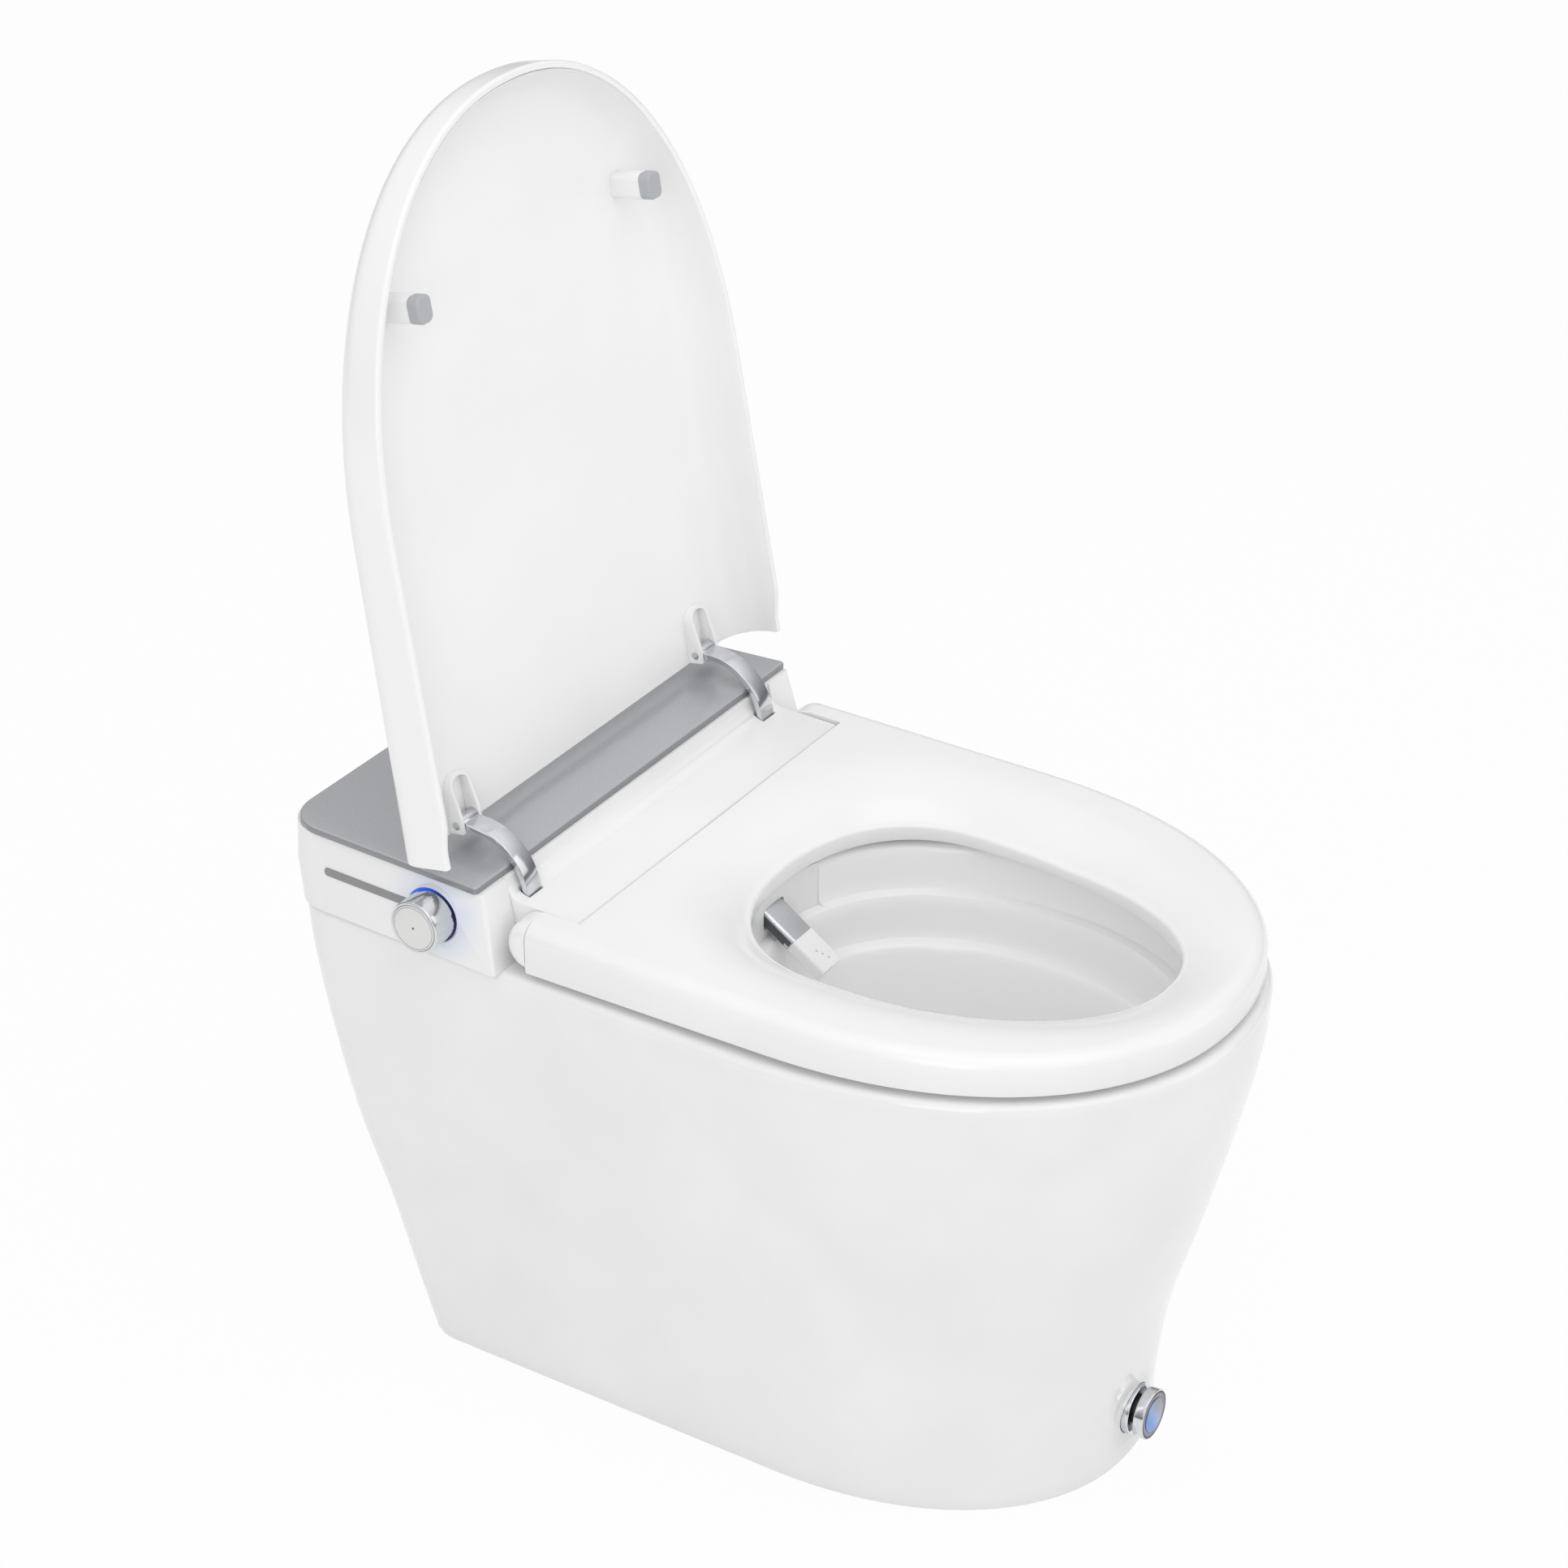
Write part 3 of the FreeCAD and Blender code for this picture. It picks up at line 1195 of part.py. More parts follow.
def knob_encoder():
    start = knob_point(-BOSS_PROUD - HOUSE_WALL * 2)
    case = box(start.x, start.x + BOSS_R, KNOB_Y - BOSS_R / 2, KNOB_Y + BOSS_R / 2, KNOB_Z - BOSS_R / 2,
               KNOB_Z + BOSS_R / 2)
    return case.cut(rod(start - X_AXIS * OVERRUN, X_AXIS, KNOB_SHAFT_R + GAP, HOUSE_WALL + OVERRUN + GAP))


# Foot flush button: collar, sprung plunger, cap and lens
def foot_point(out):
    return V(0, -foot_face() - out, FOOT_Z)


def foot_collar():
    flange = rod(foot_point(0), -Y_AXIS, FOOT_R, FOOT_FLANGE_T)
    lip = edges_where(flange, lambda b: b.YMax < foot_point(FOOT_FLANGE_T - GAP).y)
    flange = flange.makeFillet(GAP * 2, lip)
    bush = rod(foot_point(0), Y_AXIS, FOOT_BUSH_R, FOOT_BUSH_L)
    hole = rod(foot_point(FOOT_FLANGE_T + OVERRUN), Y_AXIS, FOOT_STEM_R + RUN_FIT, FOOT_BUSH_L * 2)
    return flange.fuse(bush).cut(hole)


def foot_plunger():
    length = FOOT_BUSH_L - SWITCH_L / 2 + FOOT_FLANGE_T + FOOT_TRAVEL + GAP
    return rod(foot_point(FOOT_FLANGE_T + FOOT_TRAVEL + GAP), Y_AXIS, FOOT_STEM_R, length)


def foot_cap():
    back = FOOT_FLANGE_T + FOOT_TRAVEL + GAP
    cap = rod(foot_point(back), -Y_AXIS, FOOT_R, FOOT_CAP_T)
    cap = cap.makeFillet(GAP * 2, edges_where(cap, lambda b: b.YLength < GAP))
    seat = foot_point(back + FOOT_CAP_T - FOOT_LENS_T)
    return cap.cut(rod(seat, -Y_AXIS, FOOT_LENS_R + RUN_FIT, FOOT_CAP_T))


def foot_lens():
    back = FOOT_FLANGE_T + FOOT_TRAVEL + GAP + FOOT_CAP_T
    lens = rod(foot_point(back - FOOT_LENS_T), -Y_AXIS, FOOT_LENS_R, FOOT_LENS_T + GAP)
    return lens.makeFillet(GAP / 2, edges_where(lens, lambda b: b.YMax < foot_point(back).y))


def foot_switch():
    return rod(foot_point(-FOOT_BUSH_L), Y_AXIS, FOOT_BUSH_R, SWITCH_L)


# Flush tank and pump hang under the chassis through the well
def flush_tank():
    block = box(-TANK_HALF, TANK_HALF, TANK_FRONT, TANK_REAR, DECK_Z - TANK_H, DECK_Z)
    upright = edges_where(block, lambda b: b.ZLength > TANK_H / 2)
    return block.makeFillet(TANK_ROUND, upright)


def flush_pump():
    top = DECK_Z - TANK_H
    body = rod(V(0, PUMP_Y, top - PUMP_H), Z_AXIS, PUMP_R, PUMP_H)
    spout = rod(V(0, PUMP_Y, top - PUMP_H / 2), X_AXIS, PUMP_R / 3, PUMP_R + PUMP_R / 2)
    return body.fuse(spout)


# Gear on the chassis plate
def water_heater():
    x = -HEATER_L - STANDOFF_H
    y = GEAR_Y - HEATER_W / 2
    block = box(x, x + HEATER_L, y, y + HEATER_W, CHASSIS_TOP, CHASSIS_TOP + HEATER_H)
    long_edges = edges_where(block, lambda b: b.XLength > HEATER_L / 2 and b.ZMin > CHASSIS_TOP)
    return block.makeFillet(STANDOFF_H, long_edges)


def dryer_blower():
    x = STANDOFF_H
    y = GEAR_Y
    z = CHASSIS_TOP + BLOWER_R
    scroll = rod(V(x, y, z), X_AXIS, BLOWER_R, BLOWER_W)
    mouth = box(x, x + BLOWER_W, y - BLOWER_R * 2, y, CHASSIS_TOP, CHASSIS_TOP + BLOWER_R * 3 / 4)
    return scroll.fuse(mouth).removeSplitter()


def inlet_valve():
    x = INLET_X - VALVE_W / 2
    rear = RIM_REAR - HOUSE_WALL - INLET_L
    z0 = CHASSIS_TOP
    block = box(x, x + VALVE_W, rear - VALVE_L, rear, z0, z0 + VALVE_H)
    coil = rod(V(INLET_X, rear - VALVE_L / 2, z0 + VALVE_H), Z_AXIS, VALVE_W / 3, VALVE_H / 3)
    return block.fuse(coil)


def inlet_connector():
    z = DECK_Z + INLET_RISE
    start = RIM_REAR - HOUSE_WALL - INLET_L
    length = INLET_L + HOUSE_WALL + INLET_OUT
    stub = rod(V(INLET_X, start, z), Y_AXIS, INLET_NECK_R, length)
    stub = stub.fuse(rod(V(INLET_X, start + length - INLET_FIT_L, z), Y_AXIS, INLET_R, INLET_FIT_L))
    nut = rod(V(INLET_X, RIM_REAR - HOUSE_WALL - INLET_NUT_T - GAP, z), Y_AXIS, INLET_NUT_R, INLET_NUT_T)
    bore = rod(V(INLET_X, start + HOUSE_WALL, z), Y_AXIS, INLET_BORE_R, length)
    return stub.fuse(nut).cut(bore)


def power_gland():
    z = DECK_Z + INLET_RISE
    start = RIM_REAR - HOUSE_WALL - GLAND_L
    length = GLAND_L + HOUSE_WALL + INLET_OUT
    body = rod(V(GLAND_X, start, z), Y_AXIS, GLAND_R, length)
    nut = rod(V(GLAND_X, start + GLAND_L - INLET_NUT_T - GAP, z), Y_AXIS, GLAND_R + HOUSE_WALL, INLET_NUT_T)
    bore = rod(V(GLAND_X, start - OVERRUN, z), Y_AXIS, GLAND_BORE_R, length + OVERRUN * 2)
    return body.fuse(nut).cut(bore)


def control_board():
    x = STANDOFF_H + BLOWER_W + STANDOFF_H
    y = GEAR_Y - BOARD_L / 2
    z = CHASSIS_TOP + STANDOFF_H
    plate = box(x, x + BOARD_W, y, y + BOARD_L, z, z + BOARD_T)
    pieces = [plate]
    for cx in (x + STANDOFF_R, x + BOARD_W - STANDOFF_R):
        for cy in (y + STANDOFF_R, y + BOARD_L - STANDOFF_R):
            pieces.append(rod(V(cx, cy, CHASSIS_TOP), Z_AXIS, STANDOFF_R, STANDOFF_H))
    chip = V(BOARD_W / 4, BOARD_L / 4, STANDOFF_H)
    pieces.append(Part.makeBox(chip.x, chip.y, chip.z, V(x + chip.x, y + chip.y, z + BOARD_T)))
    return join(pieces)


PIECES = {
    "pan": pan,
    "outlet_seal": outlet_seal,
    "chassis": chassis,
    "chassis_screws": chassis_screws,
    "housing": housing,
    "side_strip": side_strip,
    "top_panel": top_panel,
    "hinge_cover": hinge_cover,
    "hinge_arm_left": lambda: hinge_arm(-1),
    "hinge_arm_right": lambda: hinge_arm(1),
    "arm_screws": arm_screws,
    "seat_pins": seat_pins,
    "lid_shell": lid_shell,
    "lid_liner": lid_liner,
    "lid_lugs": lid_lugs,
    "lid_hinge_pins": lid_hinge_pins,
    "lid_buffer_posts": lid_buffer_posts,
    "lid_buffer_caps": lid_buffer_caps,
    "seat_top": seat_top,
    "seat_base": seat_base,
    "seat_heater": seat_heater,
    "seat_pads": seat_pads,
    "spray_wand": spray_wand,
    "wand_tip": wand_tip,
    "wand_guide": wand_guide,
    "wand_shield": wand_shield,
    "wand_pinion": wand_pinion,
    "wand_motor": wand_motor,
    "led_ring": led_ring,
    "knob_barrel": knob_barrel,
    "knob_face": knob_face,
    "knob_encoder": knob_encoder,
    "foot_collar": foot_collar,
    "foot_plunger": foot_plunger,
    "foot_cap": foot_cap,
    "foot_lens": foot_lens,
    "foot_switch": foot_switch,
    "flush_tank": flush_tank,
    "flush_pump": flush_pump,
    "water_heater": water_heater,
    "dryer_blower": dryer_blower,
    "inlet_valve": inlet_valve,
    "inlet_connector": inlet_connector,
    "power_gland": power_gland,
    "control_board": control_board,
}

for name, make in PIECES.items():
    save(make(), name)
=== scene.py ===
import bpy
import json
import math
from mathutils import Matrix, Vector

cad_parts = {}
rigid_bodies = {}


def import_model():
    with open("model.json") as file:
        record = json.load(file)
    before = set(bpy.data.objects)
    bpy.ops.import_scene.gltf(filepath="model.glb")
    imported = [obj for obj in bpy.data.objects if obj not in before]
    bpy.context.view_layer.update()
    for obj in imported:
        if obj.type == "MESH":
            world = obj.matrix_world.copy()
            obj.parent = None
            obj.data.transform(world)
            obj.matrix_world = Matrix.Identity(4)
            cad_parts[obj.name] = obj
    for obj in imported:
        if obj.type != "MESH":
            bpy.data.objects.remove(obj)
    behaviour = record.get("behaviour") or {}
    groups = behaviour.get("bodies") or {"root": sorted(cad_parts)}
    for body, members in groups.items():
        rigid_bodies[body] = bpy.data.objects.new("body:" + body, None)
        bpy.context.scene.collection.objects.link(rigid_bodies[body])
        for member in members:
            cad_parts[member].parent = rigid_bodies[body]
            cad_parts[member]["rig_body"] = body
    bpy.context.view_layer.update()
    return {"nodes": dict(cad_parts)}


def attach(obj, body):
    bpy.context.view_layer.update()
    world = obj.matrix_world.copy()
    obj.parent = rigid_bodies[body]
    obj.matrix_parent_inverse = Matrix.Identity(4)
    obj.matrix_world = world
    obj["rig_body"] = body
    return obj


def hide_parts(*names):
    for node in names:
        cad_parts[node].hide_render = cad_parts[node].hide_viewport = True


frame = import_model()

# Pan: vitreous china, slip-cast, glazed white and fired in one piece. The skirt, the rim, the bowl with its two
# flushing ledges and the hollow underside are one shell that stands on the floor. Shapes are in millimetres, with
# the origin on the floor and the front towards minus Y.
DECK_Z, DECK_ROUND, RIM_ROUND = 377.0, 7.0, 8.0
PAN_FOOT = (153.5, 148.0, 293.0, 228.0)  # half width, half width of the back, reach to the front and to the back
PAN_TOP = (204.0, 192.0, 361.0, 290.0)
PAN_FLARE = ((0, 0), (0.11, 0.02), (0.30, 0.16), (0.50, 0.46), (0.70, 0.74), (0.88, 0.95), (1, 1))
PAN_LEAN = ((0, 0), (0.11, 0.22), (0.30, 0.50), (0.50, 0.74), (0.70, 0.87), (0.88, 0.95), (1, 1))
PAN_CORNER, PAN_WIDEST, PAN_WALL, NOSE_POWER = 32.0, 90.0, 13.0, 2.15
SKIRT_TOP, SKIRT_LOW, SKIRT_ROWS = 366.0, 3.0, 33
FOOT_EDGE = ((1, 0.6), (0, 2), (0, 12), (1, PAN_WALL))  # height and inset
INSIDE_LEVELS = (30, 80, 130, 180, 230, 280, 330, 350)
UNDER_DECK, UNDER_INSET = 353.0, 16.0
BOWL_HALF, BOWL_FRONT, BOWL_REAR, BOWL_WALL, EGG_POWER = 131.0, 311.0, -8.0, 12.0, 2.2
BOWL_MIDDLE = (BOWL_FRONT + BOWL_REAR) / 2
BOWL_DRAW = ((0, 0), (0.3, 0.24), (0.62, 0.62), (0.85, 0.9), (1, 1))
BOWL_DRAW_TOP, BOWL_ROWS = 305.0, 20
SUMP_HALF, SUMP_FRONT, SUMP_REAR, SUMP_Z = 34.0, 194.0, 106.0, 62.0
SUMP_INSET, SUMP_EDGE = 18.0, 74.0
SUMP_FLOOR = ((0, SUMP_Z), (0.35, SUMP_Z), (0.62, SUMP_Z), (0.82, 64), (0.94, 68))  # share of the edge, and height
LEDGE = ((SUMP_INSET, 298), (17.8, 302), (16.5, 304.3), (13.5, 305.2), (10.6, 306.4), (9.3, 309), (9, 314),
         (9, 331), (8.8, 336), (7.6, 339.8), (4.6, 341.2), (1.7, 342.6), (0.3, 346), (0, 351),
         (0, DECK_Z - RIM_ROUND))  # inset and height
BOWL_OUTSIDE = ((0, UNDER_DECK, 14), (0, 350, BOWL_WALL), (0, 332, BOWL_WALL), (9, 326, BOWL_WALL),
                (9, 296, BOWL_WALL))  # inset, height and wall
SUMP_OUTSIDE_TOP, SUMP_OUTSIDE_LOW, SUMP_OUTSIDE_ROWS, SUMP_SOLE = 290.0, 64.0, 10, 50.0


def smooth_curve(knots, at):
    """Height of a soft curve through knots given as (place, height)."""
    xs, ys = zip(*knots)
    last = len(xs) - 1
    slopes = []
    for i in range(len(xs)):
        low, high = max(i - 1, 0), min(i + 1, last)
        slopes.append((ys[high] - ys[low]) / (xs[high] - xs[low]))
    i = max(0, min(last - 1, sum(at >= x for x in xs) - 1))
    span = xs[i + 1] - xs[i]
    t = (at - xs[i]) / span
    first = ys[i] * (2 * t ** 3 - 3 * t ** 2 + 1) + slopes[i] * span * (t ** 3 - 2 * t ** 2 + t)
    return first + ys[i + 1] * (3 * t ** 2 - 2 * t ** 3) + slopes[i + 1] * span * (t ** 3 - t ** 2)


def nose_point(half, length, turn):
    """Point on the blunt oval front of an outline, as across and ahead."""
    c, s = math.cos(turn), math.sin(turn)
    power = 2 / NOSE_POWER
    return half * math.copysign(abs(c) ** power, c), length * math.copysign(abs(s) ** power, s)


def d_outline(half, rear_half, front, rear, corner, widest):
    """Plan from the middle of the back, round one rear corner, along the side to the nose and home again."""
    back_steps, corner_steps, side_steps, nose_steps = 6, 8, 14, 32
    run = [(k / back_steps * (rear_half - corner), rear) for k in range(back_steps)]
    for k in range(corner_steps):
        turn = math.pi / 2 * k / corner_steps
        run.append((rear_half - corner + corner * math.sin(turn), rear - corner + corner * math.cos(turn)))
    for k in range(side_steps):
        share = k / side_steps
        run.append((rear_half + (half - rear_half) * share, (rear - corner) * (1 - share) - widest * share))
    for k in range(nose_steps + 1):
        x, ahead = nose_point(half, front - widest, math.pi / 2 * k / nose_steps)
        run.append((x, -widest - ahead))
    return run + [(-x, y) for x, y in run[-2:0:-1]]


def egg_reach(half, length, turn):
    """Distance from the middle of a full oval to its edge along a ray."""
    c, s = abs(math.cos(turn)) / half, abs(math.sin(turn)) / length
    return (c ** EGG_POWER + s ** EGG_POWER) ** (-1 / EGG_POWER)


def pan_ring(height, inset):
    """Outline of the skirt at a height."""
    level = height / DECK_Z
    flare, lean = smooth_curve(PAN_FLARE, level), smooth_curve(PAN_LEAN, level)
    shares = (flare, flare, flare, lean)
    sizes = [low + (high - low) * share - inset for low, high, share in zip(PAN_FOOT, PAN_TOP, shares)]
    return [(x, y, height) for x, y in d_outline(*sizes, PAN_CORNER - inset, PAN_WIDEST)]


def bowl_ring(inset, height, grow=0.0):
    """Oval of the bowl at a height, each point on the ray through the matching point of the deck's outline."""
    half, front, rear = BOWL_HALF - inset, BOWL_FRONT - inset, BOWL_REAR + inset
    if height < BOWL_DRAW_TOP:
        draw = smooth_curve(BOWL_DRAW, (BOWL_DRAW_TOP - height) / (BOWL_DRAW_TOP - SUMP_Z))
        half += (SUMP_HALF - half) * draw
        front += (SUMP_FRONT - front) * draw
        rear += (SUMP_REAR - rear) * draw
    half, front, rear = half + grow, front + grow, rear - grow
    middle, length = (front + rear) / 2, (front - rear) / 2
    ring = []
    for x, y, z in pan_ring(DECK_Z, 0):
        turn = math.atan2(y + BOWL_MIDDLE, x)
        reach = egg_reach(half, length, turn)
        ring.append((reach * math.cos(turn), reach * math.sin(turn) - middle, height))
    return ring


def between(first, last, share):
    """Row at a share of the way from one row to another."""
    return [tuple(a + (b - a) * share for a, b in zip(p, q)) for p, q in zip(first, last)]


def drawn_in(ring, share, height):
    """The ring pulled in towards its middle, for a floor."""
    cx = sum(p[0] for p in ring) / len(ring)
    cy = (max(p[1] for p in ring) + min(p[1] for p in ring)) / 2
    return [(cx + (x - cx) * share, cy + (y - cy) * share, height) for x, y, z in ring]


def rounding(width, drop, steps):
    """Quarter ellipse from the side up to the top, as (inset, drop from the top)."""
    turns = [math.pi / 2 * k / steps for k in range(steps + 1)]
    return [(width * (1 - math.cos(t)), drop * (1 - math.sin(t))) for t in turns]


def wrapped(name, rings, closed=True):
    """A flat grid wrapped over rows of points in millimetres, welded where the rows meet."""
    rows = [ring + ring[:1] if closed else ring for ring in rings]
    across, along = len(rows[0]), len(rows)
    bpy.ops.object.select_all(action="DESELECT")
    bpy.ops.mesh.primitive_grid_add(x_subdivisions=across - 1, y_subdivisions=along - 1, size=2)
    piece = bpy.context.object
    piece.name = piece.data.name = name
    for vertex in piece.data.vertices:
        column = round((vertex.co.x + 1) / 2 * (across - 1))
        row = round((vertex.co.y + 1) / 2 * (along - 1))
        vertex.co = Vector(rows[row][column]) / 1000
    bpy.ops.object.mode_set(mode="EDIT")
    bpy.ops.mesh.select_all(action="SELECT")
    bpy.ops.mesh.remove_doubles(threshold=0.00002)
    bpy.ops.mesh.normals_make_consistent(inside=False)
    bpy.ops.object.mode_set(mode="OBJECT")
    return piece


sump = bowl_ring(SUMP_INSET, SUMP_EDGE)
pan_rings = [drawn_in(sump, share, height) for share, height in SUMP_FLOOR]
rise = LEDGE[0][1] - SUMP_EDGE
pan_rings += [bowl_ring(SUMP_INSET, SUMP_EDGE + rise * k / BOWL_ROWS) for k in range(BOWL_ROWS)]
pan_rings += [bowl_ring(inset, height) for inset, height in LEDGE]
pan_rings += [bowl_ring(-inset, DECK_Z - drop) for inset, drop in rounding(RIM_ROUND, RIM_ROUND, 6)[1:]]
deck_in, deck_out = pan_rings[-1], pan_ring(DECK_Z, DECK_ROUND)
pan_rings += [between(deck_in, deck_out, share) for share in (0.1, 0.35, 0.7, 0.93)]
pan_rings += [pan_ring(DECK_Z - drop, inset) for inset, drop in reversed(rounding(DECK_ROUND, DECK_ROUND, 6))]
fall = SKIRT_TOP - SKIRT_LOW
pan_rings += [pan_ring(SKIRT_TOP - fall * k / SKIRT_ROWS, 0) for k in range(SKIRT_ROWS + 1)]
pan_rings += [pan_ring(height, inset) for height, inset in FOOT_EDGE]
pan_rings += [pan_ring(height, PAN_WALL) for height in INSIDE_LEVELS]
under = pan_ring(UNDER_DECK, UNDER_INSET)
pan_rings += [under, between(under, bowl_ring(0, UNDER_DECK, UNDER_INSET), 0.5)]
pan_rings += [bowl_ring(inset, height, wall) for inset, height, wall in BOWL_OUTSIDE]
fall = SUMP_OUTSIDE_TOP - SUMP_OUTSIDE_LOW
for k in range(SUMP_OUTSIDE_ROWS + 1):
    pan_rings.append(bowl_ring(SUMP_INSET, SUMP_OUTSIDE_TOP - fall * k / SUMP_OUTSIDE_ROWS, BOWL_WALL))
sole = pan_rings[-1]
pan_rings += [drawn_in(sole, share, SUMP_SOLE) for share in (0.9, 0.5, 0)]
pan = wrapped("glazed_pan", pan_rings)


def cut_out(piece, cutters):
    """Cuts solid tools away from a piece and throws the tools away."""
    for tool in cutters:
        modifier = piece.modifiers.new("cut", "BOOLEAN")
        modifier.object = tool
        modifier.operation = "DIFFERENCE"
        modifier.solver = "EXACT"
        bpy.context.view_layer.objects.active = piece
        bpy.ops.object.modifier_apply(modifier=modifier.name)
        bpy.data.objects.remove(tool)


def block(low, high):
    """A plain block between two corners in millimetres."""
    bpy.ops.object.select_all(action="DESELECT")
    bpy.ops.mesh.primitive_cube_add(size=1)
    tool = bpy.context.object
    for vertex in tool.data.vertices:
        vertex.co = Vector([low[i] if vertex.co[i] < 0 else high[i] for i in range(3)]) / 1000
    return tool


def drum(centre, axis, radius, start, end, sides=64):
    """A plain tool cylinder along an axis letter, between two places on that axis."""
    bpy.ops.object.select_all(action="DESELECT")
    bpy.ops.mesh.primitive_cylinder_add(vertices=sides, radius=radius / 1000, depth=1)
    tool = bpy.context.object
    cx, cy, cz = [c / 1000 for c in centre]
    for vertex in tool.data.vertices:
        x, y, z = vertex.co
        along = (start if z < 0 else end) / 1000
        vertex.co = (along, cy + x, cz + y) if axis == "x" else (cx + x, along, cz + y)
    bpy.ops.object.mode_set(mode="EDIT")
    bpy.ops.mesh.select_all(action="SELECT")
    bpy.ops.mesh.normals_make_consistent(inside=False)
    bpy.ops.object.mode_set(mode="OBJECT")
    return tool


# The deck is cut for the wand's guide and for the tank, and the front has a flat seat and a hole for the foot
# button.
WAND_NOTCH = ((-48, -8, 341), (48, 72, 400))
WAND_POCKET = ((-48, 20, 330), (48, 72, 378))
TANK_OPENING = ((-128, 120, 340), (128, 262, 400))
FOOT_AXIS, FOOT_FACE_Y = (0, 0, 41), -290.65
FOOT_SEAT_RADIUS, FOOT_HOLE_RADIUS, FOOT_CUT_FRONT, FOOT_CUT_BACK = 19.5, 14.05, -330, -250
cut_out(pan, [
    block(*WAND_NOTCH),
    block(*WAND_POCKET),
    block(*TANK_OPENING),
    drum(FOOT_AXIS, "y", FOOT_SEAT_RADIUS, FOOT_CUT_FRONT, FOOT_FACE_Y),
    drum(FOOT_AXIS, "y", FOOT_HOLE_RADIUS, FOOT_FACE_Y - 2, FOOT_CUT_BACK),
])


def smooth(piece, degrees):
    """Shades a piece smooth, with edges sharper than an angle left crisp."""
    bpy.ops.object.select_all(action="DESELECT")
    piece.select_set(True)
    bpy.context.view_layer.objects.active = piece
    bpy.ops.object.shade_smooth_by_angle(angle=math.radians(degrees))


smooth(pan, 35)


def linear(code):
    """An sRGB hex colour as linear red, green, blue and alpha."""
    parts = [int(code[i:i + 2], 16) / 255 for i in (1, 3, 5)]
    return tuple(p / 12.92 if p <= 0.04045 else ((p + 0.055) / 1.055) ** 2.4 for p in parts) + (1.0,)


def add(tree, kind, sockets=None, stops=(), **settings):
    """Adds a node with its settings and ramp stops, and sets or links its input sockets that are in use."""
    node = tree.nodes.new(kind)
    for name, value in settings.items():
        setattr(node, name, value)
    if stops:
        elements = node.color_ramp.elements
        for element, (at, colour) in zip(elements, (stops[0], stops[-1])):
            element.position, element.color = at, colour
        for at, colour in stops[1:-1]:
            elements.new(at).color = colour
    for name, value in (sockets or {}).items():
        named = [socket for socket in node.inputs if socket.name == name and socket.enabled]
        socket = node.inputs[name] if isinstance(name, int) else named[0]
        if isinstance(value, bpy.types.Node):
            value = [output for output in value.outputs if output.enabled][0]
        if isinstance(value, bpy.types.NodeSocket):
            tree.links.new(value, socket)
        else:
            socket.default_value = value
    return node


def blank_finish(name):
    """A new empty material, ready for nodes."""
    material = bpy.data.materials.new(name)
    material.use_nodes = True
    material.node_tree.nodes.clear()
    return material, material.node_tree


# Glaze: glass over white clay, so a sharp clear reflection, a faint slow waviness and a cloudiness of the white.
# It is painted brighter inside the bowl: painted light, fading out at the bowl's edge. Sizes in materials are in
# metres.
GLAZE_CLOUD, GLAZE_WAVE = 0.09, 0.05
PAINTED_LIGHT_MIDDLE, PAINTED_LIGHT_RADII, PAINTED_LIGHT_FADE = (0, -0.151, 0.377), (0.133, 0.162, 0.33), 1.06
glaze, tree = blank_finish("vitreous_china_glaze")
place = add(tree, "ShaderNodeTexCoord").outputs["Object"]
cloud = add(tree, "ShaderNodeTexNoise", {"Vector": place, "Scale": 1 / GLAZE_CLOUD, "Detail": 2})
tint = add(tree, "ShaderNodeValToRGB", {"Fac": cloud.outputs["Fac"]},
           stops=((0.3, linear("#EFEFEF")), (0.7, linear("#F4F4F4"))))
# Painted light: within an oval round the bowl the white is painted #FCFCFC, brighter than the glaze's own white.
painted_light_space = add(tree, "ShaderNodeMapping", {"Vector": place,
                                       "Location": [-m / r for m, r in zip(PAINTED_LIGHT_MIDDLE, PAINTED_LIGHT_RADII)],
                                       "Scale": [1 / r for r in PAINTED_LIGHT_RADII]})
depth = add(tree, "ShaderNodeVectorMath", {0: painted_light_space.outputs["Vector"]}, operation="LENGTH")
outside_painted_light = add(tree, "ShaderNodeMapRange", {"Value": depth.outputs["Value"], "From Min": 1.0, "From Max": PAINTED_LIGHT_FADE})
white = add(tree, "ShaderNodeMix", {"Factor": outside_painted_light.outputs["Result"], "A": linear("#FCFCFC"),
                                    "B": tint.outputs["Color"]}, data_type="RGBA")
wave = add(tree, "ShaderNodeTexNoise", {"Vector": place, "Scale": 1 / GLAZE_WAVE, "Detail": 1})
ripple = add(tree, "ShaderNodeBump", {"Height": wave.outputs["Fac"], "Strength": 0.03, "Distance": 0.002})
china = add(tree, "ShaderNodeBsdfPrincipled", {"Base Color": white, "Roughness": 0.09, "IOR": 1.52,
                                               "Normal": ripple.outputs["Normal"]})
add(tree, "ShaderNodeOutputMaterial", {"Surface": china})
pan.data.materials.append(glaze)
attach(pan, "base")
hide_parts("pan")


